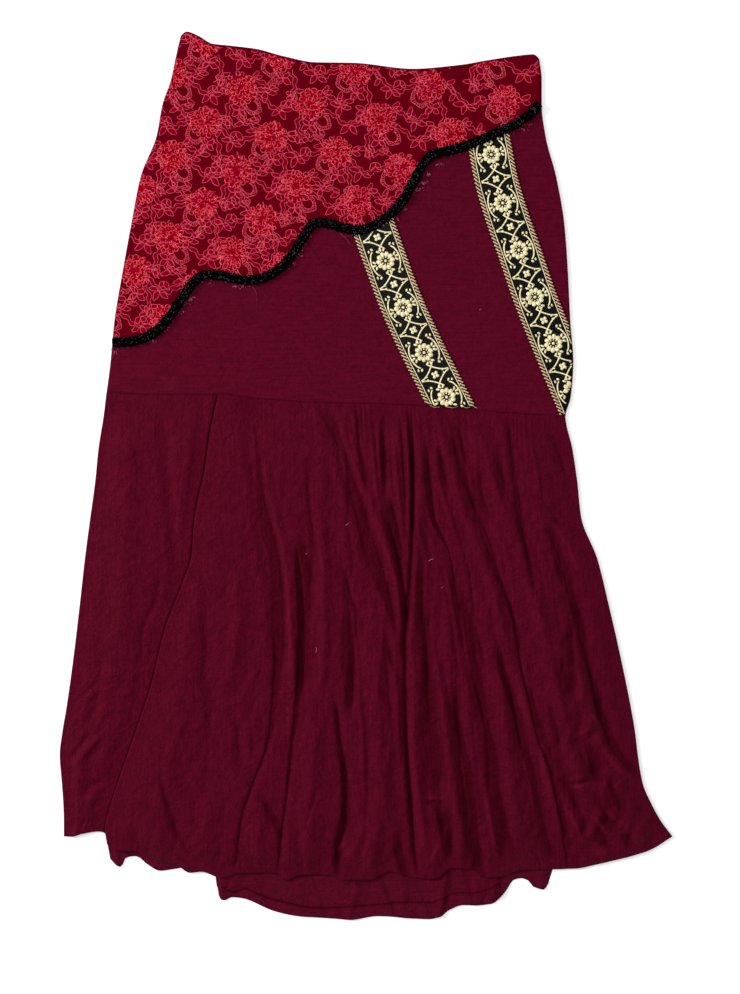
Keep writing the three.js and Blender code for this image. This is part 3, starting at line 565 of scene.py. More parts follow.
FRONT_FOLDS = (
    Fold(-1.8, 8, 13,
         ((241, 418), (249, 445), (254, 480), (258, 525), (266, 560), (272, 600), (274, 660))),
    Fold(-2.3, 5, 8, ((275, 630), (273, 690), (268, 740), (252, 785), (241, 820), (233, 885)), -2.5),
    Fold(3.4, 5, 9, ((263, 450), (270, 500), (283, 550), (290, 610), (291, 700), (287, 745))),
    Fold(-0.9, 4, 5, ((305, 462), (309, 505), (314, 550), (312, 590))),
    Fold(-3.3, 7, 8, ((294, 535), (302, 590), (304, 640), (302, 690), (300, 712)), 2.7),
    Fold(-3.0, 6, 7, ((298, 630), (297, 680), (291, 750), (286, 800), (281, 840), (276, 888)), -2.8),
    Fold(2.6, 9, 9, ((319, 510), (323, 570), (324, 640), (320, 700))),
    Fold(-2.2, 7, 9, ((342, 558), (349, 600), (353, 650), (350, 728)), 2.1),
    Fold(3.5, 15, 15, ((314, 700), (312, 780), (306, 890))),
    Fold(-3.8, 5, 9, ((335, 688), (339, 735), (345, 780), (345, 820), (337, 850), (336, 890)), 2.5),
    Fold(-2.5, 8, 7, ((322, 400), (330, 425), (341, 460), (350, 492), (359, 522), (366, 555), (372, 590)),
         1.2),
    Fold(3.8, 5, 8, ((337, 408), (352, 455), (366, 492), (384, 540), (396, 590), (403, 640))),
    Fold(-1.8, 5, 5, ((358, 400), (359, 435), (363, 468), (371, 505)), 0.0),
    Fold(2.4, 3.5, 3.5, ((370, 410), (373, 450), (377, 492), (383, 515))),
    Fold(-2.0, 6, 5, ((385, 402), (383, 445), (384, 480), (387, 512))),
    Fold(-3.8, 5.5, 5.5, ((384, 500), (390, 530), (398, 562), (403, 595), (406, 640), (406, 665))),
    Fold(-3.5, 6, 7, ((405, 610), (405, 700), (408, 760), (411, 800), (414, 845), (420, 890)), 2.9),
    Fold(-1.2, 4, 4, ((399, 408), (402, 440), (404, 480), (408, 512))),
    Fold(-3.4, 4.5, 6, ((409, 403), (412, 440), (413.5, 480), (413, 525), (410.5, 575), (407, 625)), 2.1),
    Fold(3.2, 6, 7, ((418, 425), (421, 480), (418, 560), (414, 620), (415, 720), (420, 800), (428, 860))),
    Fold(-2.2, 6, 7, ((425, 438), (429, 480), (434, 515), (445, 543), (452, 575), (457, 610)), 2.4),
    Fold(-3.0, 8, 9, ((456, 590), (462, 635), (470, 672), (480, 705), (487, 750), (489, 810)), 2.1),
    Fold(-2.0, 7, 8, ((422, 600), (427, 660), (430, 745))),
    Fold(-2.5, 8, 8, ((438, 760), (440, 800), (444, 852)), 2.1),
    Fold(4.6, 10, 8, ((433, 640), (442, 700), (451, 765), (459, 830), (463, 890))),
    Fold(-3.5, 6, 8, ((448, 690), (458, 735), (464, 790), (469, 840), (475, 890)), 2.5),
    Fold(3, 7, 8, ((460, 670), (470, 725), (477, 790), (484, 845), (492, 890))),
    Fold(3.6, 13, 13, ((499, 660), (505, 740), (514, 820), (518, 890))),
    Fold(-2.2, 6, 7, ((446, 404), (453, 442), (461, 474), (474, 508), (487, 545), (498, 580), (505, 600)),
         -1.5),
    Fold(-3.5, 5, 8,
         ((500, 580), (512, 620), (519, 660), (530, 710), (537, 740), (548, 770), (558, 815), (570, 886)),
         -3.1),
    Fold(2.8, 9, 7,
         ((436, 412), (446, 452), (458, 494), (476, 540), (494, 596), (508, 650), (522, 705),
          (541, 770))),
    Fold(-2.0, 4.5, 5, ((455, 512), (463, 545), (470, 580), (475, 620), (483, 655), (489, 680)), 2.4),
    Fold(-2.2, 7, 7, ((497, 640), (507, 685), (516, 725), (524, 765), (533, 815), (540, 870)), 2.1),
    Fold(3.6, 12, 12,
         ((476, 421), (490, 470), (509, 520), (534, 590), (550, 660), (566, 730), (582, 790))),
    Fold(-1.2, 4, 4, ((464, 420), (468, 450))),
    Fold(-1.5, 4, 5, ((494, 468), (500, 492), (508, 515))),
    Fold(-1.9, 6, 6, ((506, 410), (510, 445), (513, 480), (518, 512)), 1.6),
    Fold(-1.7, 5, 6, ((519, 520), (526, 555), (535, 600)), 1.6),
    Fold(-1.8, 7, 7, ((548, 421), (553, 442), (562, 470), (572, 498), (578, 512))),
    Fold(-1.5, 4, 4, ((542, 492), (548, 508), (558, 524), (566, 534))),
    Fold(-2.1, 7, 8, ((545, 518), (551, 545), (560, 568), (565, 600), (572, 640), (573, 695)), 2.4),
    Fold(-1.2, 4, 4, ((566, 548), (575, 569), (584, 590))),
    Fold(-3.2, 7, 8, ((578, 622), (587, 662), (595, 700), (606, 738), (618, 762), (640, 786)), 2.7),
    Fold(3, 10, 10, ((592, 600), (604, 660), (616, 710), (628, 750))),
    Fold(3, 15, 15, ((610, 760), (632, 800), (646, 870))),
    Fold(2.4, 22, 22, ((192, 600), (178, 720), (162, 800), (152, 880))),
    Fold(-1.1, 6, 7, ((198, 560), (204, 640), (203, 676), (208, 704), (203, 745), (198, 775))),
    Fold(-1.3, 6, 10, ((218, 698), (231, 714), (238, 730), (238, 748), (243, 785))),
    Fold(2.2, 12, 12, ((240, 560), (236, 640), (224, 700))),
    Fold(-1.4, 6, 7, ((158, 772), (166, 800), (174, 826), (185, 850))),
    Fold(1.8, 16, 16, ((215, 790), (206, 830), (202, 885))),
    Fold(-1.7, 6, 7, ((258, 785), (268, 812), (279, 838))),
    Fold(2.8, 9, 9, ((262, 800), (260, 840), (256, 888))),
    Fold(-1.5, 6, 6, ((388, 830), (397, 850), (406, 880))),
    Fold(3.2, 13, 13, ((374, 640), (380, 740), (378, 820), (368, 890))),
    Fold(-1.5, 7, 7, ((378, 622), (390, 655), (402, 690))),
    Fold(-1.2, 6, 6, ((376, 672), (388, 698), (401, 722))),
    Fold(1.8, 3, 3, ((346, 412), (357, 455), (366, 478))),
    Fold(-1.0, 3, 3, ((350, 405), (362, 452), (374, 492))),
    Fold(1.7, 3, 3, ((378, 408), (379, 450), (381, 495))),
    Fold(2.2, 3.5, 3.5, ((392, 431), (397, 480), (401, 520), (403, 553))),
    Fold(-1.0, 3, 3, ((390, 408), (392, 450), (394, 500))),
    Fold(1.8, 3, 3, ((404, 410), (407, 450), (409, 490))),
    Fold(2.2, 3, 4, ((432, 430), (437, 470), (447, 510), (458, 545))),
    Fold(-0.9, 3, 3, ((437, 425), (443, 465), (453, 505))),
    Fold(1.8, 3, 3, ((452, 412), (458, 440), (468, 475))),
    Fold(-1.0, 3, 3, ((440, 560), (448, 600), (455, 650), (461, 690))),
    Fold(1.8, 3.5, 3.5, ((446, 570), (455, 620), (462, 660))),
    Fold(-1.2, 3.5, 3.5, ((421, 582), (424, 640), (429, 707))),
    Fold(1.8, 3.5, 3.5, ((395, 640), (397, 700), (399, 770))),
    Fold(-0.9, 3, 3, ((384, 640), (390, 700), (394, 760))),
    Fold(1.6, 3.5, 3.5, ((352, 600), (359, 660), (362, 730), (364, 800))),
    Fold(-0.8, 4, 4, ((365, 700), (368, 770), (366, 850))),
    Fold(-1.0, 4, 4, ((470, 700), (476, 760), (483, 830), (488, 880))),
    Fold(1.8, 4, 4, ((520, 640), (530, 700), (541, 760), (552, 820))),
    Fold(-0.9, 4, 4, ((556, 600), (562, 650), (560, 700))),
    Fold(1.6, 4, 4, ((529, 430), (536, 470), (541, 510))),
)

FRONT_CREASES = (
    Crease(-1.8, 3.0, (302, 838), (319, 782)),
    Crease(-1.5, 3.0, (199, 771), (215, 772)),
    Crease(1.8, 3.5, (206, 676), (217, 684)),
    Crease(3.0, 5.0, (570, 738), (592, 724)),
    Crease(3.6, 6.0, (577, 662), (583, 716)),
    Crease(-2.6, 5.0, (602, 784), (622, 822)),
    Crease(4.5, 6.0, (598, 786), (617, 826)),
    Crease(3.0, 4.0, (624, 816), (606, 842)),
    Crease(-3.0, 4.0, (562, 786), (592, 780)),
    Crease(2.4, 3.5, (562, 781), (588, 775)),
    Crease(-2.7, 4.5, (622, 809), (658, 809)),
    Crease(-3.0, 4.0, (654, 832), (662, 848)),
    Crease(-2.2, 4.0, (421, 801), (451, 803)),
    Crease(2.4, 3.5, (422, 797), (450, 798)),
    Crease(-2.1, 4.0, (510, 866), (548, 872)),
    Crease(2.7, 4.0, (430, 866), (442, 838)),
    Crease(2.2, 4.0, (448, 880), (434, 858)),
    Crease(2.4, 5.0, (340, 850), (352, 838)),
)

LEFT_FOLDS = (
    Fold(-2.6, 12, 10, ((163, 396), (166, 440), (170, 490), (176, 550), (181, 600))),
    Fold(2.2, 20, 24, ((132, 420), (126, 520), (122, 620), (104, 700))),
    Fold(-1.8, 7, 8, ((162, 556), (157, 600), (144, 630), (139, 700), (124, 760))),
    Fold(-1.5, 9, 9, ((106, 640), (99, 690), (84, 740))),
    Fold(2.0, 9, 9, ((86, 740), (78, 790), (75, 850))),
    Fold(1.6, 8, 8, ((192, 420), (188, 480), (182, 540))),
)
LEFT_CREASES = (
    Crease(-2.5, 5.0, (62, 768), (96, 728)),
    Crease(2.2, 5.0, (70, 770), (106, 730)),
    Crease(-2.8, 7.0, (82, 794), (108, 776)),
    Crease(-1.7, 4.0, (70, 706), (102, 680)),
    Crease(2.0, 5.0, (100, 815), (74, 800)),
    Crease(-1.4, 3.5, (134, 458), (146, 453)),
    Crease(-1.4, 3.5, (162, 428), (172, 423)),
    Crease(-1.8, 4.0, (76, 836), (90, 812)),
)

BACK_FOLDS = (
    Fold(0.7, 9, 9, ((150, 440), (138, 560), (128, 700), (118, 840))),
    Fold(0.8, 8, 10, ((205, 430), (196, 560), (186, 700), (182, 850))),
    Fold(0.7, 9, 9, ((262, 425), (258, 560), (250, 700), (244, 860))),
    Fold(0.8, 10, 8, ((318, 430), (322, 560), (318, 700), (322, 880))),
    Fold(0.7, 8, 8, ((372, 430), (380, 560), (384, 700), (390, 890))),
    Fold(0.8, 9, 9, ((430, 430), (446, 560), (456, 700), (462, 880))),
    Fold(0.7, 8, 9, ((486, 430), (508, 560), (524, 700), (540, 850))),
    Fold(0.8, 9, 8, ((535, 440), (560, 560), (586, 700), (614, 840))),
)
BACK_HEM_FOLDS = (
    Fold(2.6, 3.5, 8, ((221, 868), (221, 880), (219, 905)), 0.0, 6),
    Fold(-0.9, 7, 7, ((249, 880), (247, 925)), 0.0, 8),
    Fold(1.2, 12, 14, ((300, 884), (304, 930)), 0.0, 8),
    Fold(1.0, 14, 14, ((356, 884), (352, 930)), 0.0, 8),
    Fold(1.4, 12, 10, ((404, 884), (406, 930)), 0.0, 8),
    Fold(2.2, 6, 4, ((449, 872), (446, 890), (440, 925)), 0.0, 6),
    Fold(1.6, 8, 8, ((474, 878), (476, 912)), 0.0, 8),
    Fold(2.6, 6, 7, ((512, 864), (505, 880), (500, 902)), 0.0, 6),
    Fold(2.4, 5, 5, ((541, 868), (543, 896)), 0.0, 6),
    Fold(1.8, 5, 5, ((116, 842), (120, 875)), 0.0, 6),
)

YOKE_CREASES = (
    Crease(-0.8, 5.0, (219, 336), (229, 398)),
    Crease(0.7, 6.0, (230, 340), (239, 398)),
    Crease(-0.5, 5.0, (150, 378), (190, 366)),
    Crease(0.5, 8.0, (268, 372), (330, 352)),
    Crease(-0.5, 7.0, (300, 386), (352, 372)),
    Crease(-0.6, 7.0, (420, 250), (470, 330)),
    Crease(0.6, 8.0, (452, 250), (500, 340)),
    Crease(-0.6, 6.0, (524, 180), (556, 250)),
    Crease(0.7, 6.0, (534, 150), (560, 210)),
    Crease(-0.5, 6.0, (430, 300), (462, 296)),
    Crease(-0.6, 5.0, (500, 360), (545, 402)),
    Crease(0.6, 6.0, (486, 366), (534, 408)),
)


def board_to_frame(x: Array, down: Array, height: Array) -> Array:
    """Turn board places in mm into points of the row frame in metres.

    Args:
        x: Places to the right on the board.
        down: Places towards the hem.
        height: Heights above the surface that the skirt lies on.

    Returns:
        An array of points with a last axis of three.
    """
    across = (np.asarray(x, float) - BOARD_LEFT - HEM_WIDTH / 2) * MM
    along = (SKIRT_LENGTH / 2 - (np.asarray(down, float) - BOARD_TOP)) * MM
    across, along, up = np.broadcast_arrays(across, along, np.asarray(height, float) * MM)
    return np.stack([across, along, up], axis=-1)


class LaidForm:
    """The lie of the cloth: outlines, seams and the heights of each layer."""

    def __init__(self) -> None:
        """Make a smooth line of every table."""
        self.left_side = SmoothLine([(row[0], row[1]) for row in SIDE_LEVELS])
        self.right_side = SmoothLine([(row[0], row[2]) for row in SIDE_LEVELS])
        self.waist = SmoothLine(WAIST_LINE)
        self.seam = SmoothLine(DROPPED_SEAM)
        self.left_hem = SmoothLine(LEFT_HEM)
        self.front_hem = SmoothLine(FRONT_HEM)
        self.back_hem = SmoothLine(BACK_HEM)
        self.turnup = SmoothLine(TURNUP_EDGE)
        self.braid = SmoothLine(BRAID_LINE)
        self.pleat = SmoothLine(PLEAT_EDGE)
        self.gather_strength = SmoothLine(
            [(200, 0.1), (245, 0.3), (300, 0.35), (335, 1.0), (500, 1.0), (535, 0.5), (570, 0.2)]
        )

    def yoke_rise(self, x: Array, down: Array) -> Array:
        """Give the soft swelling of the yoke above its edges, without creases."""
        from_side = np.minimum(x - self.left_side(down), self.right_side(down) - x)
        from_ends = np.minimum(down - self.waist(x), self.seam(x) - down)
        inward = smoothstep(from_side, 2, 90) * smoothstep(from_ends, 2, 80)
        return 2.2 * inward * (0.8 + 0.2 * np.sin(x / 37 + down / 61))

    def seam_roll(self, distance: Array) -> Array:
        """Give the dip of the cloth towards a seam at a distance in mm from it."""
        return -0.4 * (1 - smoothstep(distance, 0.0, 3.0)) - 0.35 * (1 - smoothstep(distance, -0.6, 0.6))

    def hem_line(self, distance: Array) -> Array:
        """Give the groove of the hem's stitching and the swell of the fold below it."""
        groove = -0.5 * np.exp(-(((distance - HEM_STITCH_DEPTH) / 1.1) ** 2))
        return groove + 0.35 * smoothstep(distance, 0, 3) * (1 - smoothstep(distance, 7, 11))

    def streaks(self, x: Array, down: Array) -> Array:
        """Give the fine lengthwise ridges that fan out from the gathers."""
        top, foot = self.seam(x), self.front_hem(x)
        t = np.clip((down - top) / (foot - top), 0, 1)
        left, right = self.pleat(down), self.right_side(down)
        s = (x - left) / (right - left) + 0.01 * np.sin(7 * t + 2)
        warped = s + 0.006 * np.sin(31 * s + 3 * t) + 0.0025 * np.sin(67 * s)
        total = np.zeros_like(x)
        for count, size, phase, swing, first, last in (
            (19, 1.1, 0.4, 0.9, 0.02, 1.3),
            (31, 0.95, 2.1, 1.3, 0.0, 0.8),
            (43, 0.6, 4.0, 1.0, 0.0, 0.5),
            (27, 0.8, 5.2, 1.7, 0.4, 1.4),
        ):
            angle = 2 * math.pi * count * warped + phase + swing * np.sin(4 * t + 9 * s)
            ridge = 0.7 - 1.5 * np.abs(np.sin(angle / 2))
            near = smoothstep(t, first, first + 0.06) * (1 - smoothstep(t, last * 0.6, last))
            patchy = np.clip(0.5 + 0.5 * np.sin(17 * s + 6 * t + phase) + 0.3 * np.sin(41 * s - 9 * t), 0, 1)
            total = total + size * ridge * near * patchy
        middle = smoothstep(s, 0.2, 0.42) * (1 - 0.5 * smoothstep(s, 0.85, 0.98))
        return total * (0.2 + 0.8 * middle)

    def crushed(self, x: Array, down: Array, pitch: float, turn: float) -> Array:
        """Give sharp-edged flat facets like those of thin cloth that was crushed.

        Args:
            x: Places to the right on the board.
            down: Places towards the hem.
            pitch: Usual distance between creases in mm.
            turn: Direction across most of the creases, in radians from x towards the hem.

        Returns:
            Heights of about -1 to 1.
        """
        bent_x = x + 5 * np.sin(down / 17 + x / 29) + 2 * np.sin(down / 7.3)
        bent_down = down + 5 * np.sin(x / 15 - down / 23) + 2 * np.sin(x / 6.1 + 2)
        total = np.zeros_like(x)
        for away, length, size in ((0.0, 1.0, 1.0), (0.42, 0.67, 0.8), (-0.5, 1.37, 0.9), (1.35, 0.9, 0.5)):
            along = (bent_x * math.cos(turn + away) + bent_down * math.sin(turn + away)) / (pitch * length)
            total = total + size * (1 - 4 * np.abs(along - np.floor(along + 0.5)))
        return total / 2.4

    def yoke_front(self, x: Array, down: Array) -> Array:
        """Give the height of the middle of the front yoke's wall."""
        small = sum(c.height(x, down) for c in YOKE_CREASES)
        above = self.seam(x) - down
        roll = 0.3 * (1 - smoothstep(above, 1.0, 5.0)) - 0.35 * (1 - smoothstep(above, 0.0, 1.6))
        return FRONT_MID + self.yoke_rise(x, down) + 0.5 * small * smoothstep(above, 0, 12) + roll

    def gathers(self, x: Array, down: Array) -> Array:
        """Give the small uneven gathers that hang from the dropped seam."""
        below = down - self.seam(x)
        uneven = np.clip(0.5 + 0.4 * np.sin(x / 13.7 + 1) + 0.35 * np.sin(x / 7.9), 0, 1)
        reach = 26 + 44 * uneven
        fade = smoothstep(below, 0.5, 7) * (1 - smoothstep(below / reach, 0.25, 1.0))
        wander = 1.1 * np.sin(x / 21) + 0.6 * np.sin(x / 8.3) + 0.3 * np.sin(x / 4.1)
        along = (x - below * 0.12) / 9.5 + wander
        ridge = (0.5 + 0.5 * np.sin(along * 2 * math.pi)) ** 1.8
        return self.gather_strength(x) * (0.1 + 1.1 * uneven) * ridge * fade

    def front_loose(self, x: Array, down: Array) -> Array:
        """Give the height of the front flounce above its lowest lie."""
        below = down - self.seam(x)
        from_side = self.right_side(down) - x
        opened = smoothstep(below, 0, 60) * smoothstep(from_side, 0, 42)
        folds = sum(fold.height(x, down) for fold in FRONT_FOLDS + FRONT_FACETS)
        folds = folds + sum(crest.rise * crest.closeness(x, down) for crest in FRONT_CRESTS)
        creases = sum(crease.height(x, down) for crease in FRONT_CREASES)
        slow = 0.5 * np.sin(x / 31 + down / 83) + 0.4 * np.sin(x / 19 - down / 57 + 2)
        lie = (5.3 + slow + folds + creases + 0.8 * self.streaks(x, down)) * opened
        lower_right = smoothstep(down, 600, 700) * smoothstep(x - 530 - 0.12 * (down - 640), 0, 36)
        upper_right = smoothstep(x, 505, 550) * smoothstep(down, 440, 520) * (1 - lower_right)
        by_hem = smoothstep(down - self.front_hem(x), -62, -24)
        lie = lie + opened * (
            3.2 * lower_right * self.crushed(x, down, 27.0, -0.3)
            + 0.8 * upper_right * self.crushed(x, down, 24.0, 0.3)
            + 1.3 * by_hem * self.crushed(x, down, 19.0, 0.2)
            + 0.35 * self.crushed(x, down, 15.0, 0.6)
        )
        early = sum(f.height(x, down) for f in FRONT_FOLDS if f.run[0][1] < 430)
        lie = lie + 0.25 * early * smoothstep(below, 2, 14) * (1 - opened)
        lie = lie * mix(0.24, 1.0, smoothstep(self.front_hem(x) - down, -2, 28))
        lifted = 0.5 * (lie + np.sqrt(lie * lie + 0.5)) - 0.35
        return lifted + self.gathers(x, down) * smoothstep(from_side, 0, 20)

    def front_shade(self, x: Array, down: Array) -> Array:
        """Give the front flounce's painted shade on facets turned from the light, less the painted highlight
        on its crests.
        """
        opened = smoothstep(down - self.seam(x), 0, 14)
        dark = np.max([facet.shade(x, down) for facet in FRONT_FACETS], axis=0)
        lit = np.max([crest.tone * crest.closeness(x, down) for crest in FRONT_CRESTS], axis=0)
        return (dark * (1 - lit) - lit) * opened

    def front_height(self, x: Array, down: Array) -> Array:
        """Give the height of the middle of the front flounce's wall."""
        from_pleat = x - self.pleat(down)
        loose = self.front_loose(x, down)
        over = 1 - smoothstep(from_pleat, 10, 46)
        rolled = PLEAT_MID - FRONT_MID + 2 * PLEAT_BEND_RADIUS
        held = rolled + 0.35 * loose * smoothstep(from_pleat, 4, 30)
        dip = self.seam_roll(down - self.seam(x)) * smoothstep(from_pleat, 20, 46)
        hem = self.hem_line(self.front_hem(x) - down) * smoothstep(from_pleat, 4, 16)
        return FRONT_MID + mix(loose, held, over) + dip + hem

    def front_shift(self, x: Array, down: Array) -> Array:
        """Give the sideways shift of the front flounce where its folds hang over."""
        opened = smoothstep(down - self.seam(x), 5, 60) * smoothstep(self.right_side(down) - x, 6, 40)
        from_pleat = x - self.pleat(down)
        away = smoothstep(from_pleat, 20, 50) * smoothstep(self.front_hem(x) - down, 0, 10)
        shift = sum(fold.shift(x, down) for fold in FRONT_FOLDS)
        return shift * opened * mix(0.45, 1.0, away) * smoothstep(from_pleat, 16, 40)

    def left_height(self, x: Array, down: Array) -> Array:
        """Give the height of the middle of the left panel's wall."""
        below = down - self.seam(x)
        from_pleat = self.pleat(down) - x
        from_side = x - self.left_side(down)
        opened = smoothstep(below, 0, 46) * smoothstep(from_pleat, 5, 24) * smoothstep(from_side, 0, 22)
        folds = sum(fold.height(x, down) for fold in LEFT_FOLDS)
        creases = sum(crease.height(x, down) for crease in LEFT_CREASES)
        crushed = 0.3 * self.crushed(x, down, 13.0, 0.7) + smoothstep(down, 670, 740) * (
            0.9 * self.crushed(x, down, 21.0, 0.75)
        )
        lie = (2.4 + folds + creases + crushed) * opened
        lifted = 0.5 * (lie + np.sqrt(lie * lie + 0.2)) - 0.22
        within = smoothstep(from_side, 1, 8) * smoothstep(from_pleat, 1, 8)
        hem = self.hem_line(self.left_hem(x) - down) * within
        return FRONT_MID + lifted + self.seam_roll(below) + hem

    def back_height(self, x: Array, down: Array) -> Array:
        """Give the height of the middle of the back flounce's wall."""
        below = down - self.seam(x)
        hidden = sum(fold.height(x, down) for fold in BACK_FOLDS) * smoothstep(below, 0, 40)
        shown = sum(fold.height(x, down) for fold in BACK_HEM_FOLDS)
        past_front = smoothstep(down - self.front_hem(x), -4, 6)
        return CLOTH / 2 + 0.15 + mix(hidden, np.maximum(shown, -0.1), past_front)

    def yoke_back(self, x: Array, down: Array) -> Array:
        """Give the height of the middle of the back yoke's wall."""
        edge = np.minimum(x - self.left_side(down), self.right_side(down) - x)
        ripple = 0.25 * np.sin(x / 23 + down / 71) * np.sin(down / 37 + 1) + 0.25
        return CLOTH / 2 + 0.1 + ripple * smoothstep(edge, 4, 60)


class MeshWork:
    """Collects points and faces and turns them into one mesh object."""

    def __init__(self) -> None:
        """Start with nothing."""
        self.points: list[Array] = []
        self.faces: list[Array] = []
        self.marks: list[Array] = []
        self.slots: list[Array] = []
        self.count = 0

    def add_points(self, points: Array, mark: Array | float = 0.0) -> int:
        """Add points, each with a mark that its material reads.

        Args:
            points: Points of the row frame, in metres.
            mark: A value for the piece's material, for each point or for all.

        Returns:
            The index of the first one.
        """
        flat = np.asarray(points, float).reshape(-1, 3)
        first = self.count
        self.points.append(flat)
        self.marks.append(np.broadcast_to(np.asarray(mark, float).reshape(-1), (len(flat),)))
        self.count += len(flat)
        return first

    def add_faces(self, faces: Array, slot: int = 0) -> None:
        """Add faces that all have the same number of corners."""
        corners = np.asarray(faces, dtype=np.int64)
        if len(corners):
            self.faces.append(corners)
            self.slots.append(np.full(len(corners), slot, dtype=np.int32))

    def add_ring_chain(
        self, rings: Array, closed: bool = False, slot: int = 0, mark: Array | float = 0.0
    ) -> None:
        """Add a solid through equal closed rings, its ends capped unless the chain is closed.

        Args:
            rings: Points as rings by corners by three.
            closed: Whether the last ring joins the first.
            slot: Material slot of its faces.
            mark: A value for each ring's points or for all.
        """
        count, sides = rings.shape[:2]
        marks = np.repeat(np.broadcast_to(np.asarray(mark, float).reshape(-1), (count,)), sides)
        base = self.add_points(rings, marks)
        k = np.arange(count if closed else count - 1)[:, None]
        n = np.arange(sides)[None, :]
        following = (k + 1) % count
        beside = (n + 1) % sides
        quads = np.stack(
            [k * sides + n, following * sides + n, following * sides + beside, k * sides + beside], axis=-1
        )
        self.add_faces(base + quads.reshape(-1, 4), slot)
        if not closed:
            start = base + np.arange(sides)
            finish = base + (count - 1) * sides + np.arange(sides)[::-1]
            self.add_faces(np.array([start]), slot)
            self.add_faces(np.array([finish]), slot)

    def add_thread(
        self, x: Array, down: Array, base: Array, section: Rows, closed: bool = False, slot: int = 0
    ) -> None:
        """Sweep a section along board places.

        Args:
            x: Places to the right.
            down: Places towards the hem.
            base: Height of the section's foot at each place in mm.
            section: Corners of the section in mm, each as (aside, up).
            closed: Whether the last place joins the first.
            slot: Material slot of its faces.
        """
        nx, nd = line_normals(x, down, closed)
        corners = [board_to_frame(x + nx * aside, down + nd * aside, base + up) for aside, up in section]
        self.add_ring_chain(np.stack(corners, axis=1), closed, slot)

    def build(self, name: str, materials: Sequence[bpy.types.Material]) -> bpy.types.Object:
        """Make the object.

        Args:
            name: The object's name.
            materials: One material for each slot.

        Returns:
            The new object, linked to the scene.
        """
        mesh = bpy.data.meshes.new(name)
        points = np.concatenate(self.points)
        sizes = np.concatenate([np.full(len(f), f.shape[1]) for f in self.faces])
        corners = np.concatenate([f.reshape(-1) for f in self.faces])
        mesh.vertices.add(len(points))
        mesh.vertices.foreach_set("co", points.reshape(-1))
        mesh.loops.add(len(corners))
        mesh.loops.foreach_set("vertex_index", corners)
        mesh.polygons.add(len(sizes))
        mesh.polygons.foreach_set("loop_start", np.concatenate([[0], np.cumsum(sizes)[:-1]]))
        mesh.polygons.foreach_set("loop_total", sizes)
        mesh.polygons.foreach_set("use_smooth", np.ones(len(sizes), dtype=bool))
        mesh.polygons.foreach_set("material_index", np.concatenate(self.slots))
        mesh.update(calc_edges=True)
        # The mark attribute carries the painted shade and painted highlight of the cloth panels; other pieces
        # leave it at 0.
        mark = mesh.attributes.new("mark", "FLOAT", "POINT")
        mark.data.foreach_set("value", np.concatenate(self.marks).astype(np.float32))
        for material in materials:
            mesh.materials.append(material)
        mesh.validate()
        made = bpy.data.objects.new(name, mesh)
        bpy.context.scene.collection.objects.link(made)
        return made


def facing_of(grid: Array) -> Array:
    """Give the unit facing of a grid of points, up for a flat one."""
    along = np.gradient(grid, axis=1)
    down = np.gradient(grid, axis=0)
    facing = np.cross(down, along)
    return facing / np.maximum(np.linalg.norm(facing, axis=-1, keepdims=True), 1e-12)


def add_shell(
    work: MeshWork, grid: Array, wall: float, mark: Array | float = 0.0, stride: int = 2
) -> None:
    """Add a thin closed shell about a grid of middle points.

    Args:
        work: Where the shell goes.
        grid: Middle points, rows by columns by three, in metres; both counts are one more than a
            multiple of stride.
        wall: The shell's thickness in mm.
        mark: A material value for each grid point or for all.
        stride: How many grid steps one step of the under side spans.
    """
    rows, columns = grid.shape[:2]
    facing = facing_of(grid) * (wall * MM / 2)
    marks = np.broadcast_to(np.asarray(mark, float), (rows, columns))
    upper = work.add_points(grid + facing, marks)
    under_grid = (grid - facing)[::stride, ::stride]
    lower = work.add_points(under_grid, marks[::stride, ::stride])
    low_rows, low_columns = under_grid.shape[:2]

    def quads(first: int, height: int, width: int) -> Array:
        i = np.arange(height - 1)[:, None]
        j = np.arange(width - 1)[None, :]
        a = i * width + j
        return first + np.stack([a, a + width, a + width + 1, a + 1], axis=-1).reshape(-1, 4)

    work.add_faces(quads(upper, rows, columns))
    work.add_faces(quads(lower, low_rows, low_columns)[:, ::-1])
    index = np.arange(rows * columns).reshape(rows, columns) + upper
    low = np.arange(low_rows * low_columns).reshape(low_rows, low_columns) + lower
    for fine, coarse in (
        (index[0, ::-1], low[0, ::-1]),
        (index[-1], low[-1]),
        (index[:, 0], low[:, 0]),
        (index[::-1, -1], low[::-1, -1]),
    ):
        steps = [fine[k : len(fine) - stride + k : stride] for k in range(stride)]
        steps.append(fine[stride::stride])
        rim = np.stack([*steps[::-1], coarse[:-1], coarse[1:]], axis=-1)
        work.add_faces(rim)


@dataclass(frozen=True)
class Border:
    """One border of a panel: a stretch of one of the lie's lines.

    Attributes:
        first: Where it starts: an x for a border across the cloth, a down for one along it.
        last: Where it ends.
        line: Gives the other measure at each place.
    """

    first: float
    last: float
    line: Callable[[Array], Array]

    def places(self, steps: Array) -> Array:
        """Give the border's places at steps from 0 to 1, the driving measure first."""
        at = mix(self.first, self.last, steps)
        return np.stack([at, self.line(at)], axis=-1)


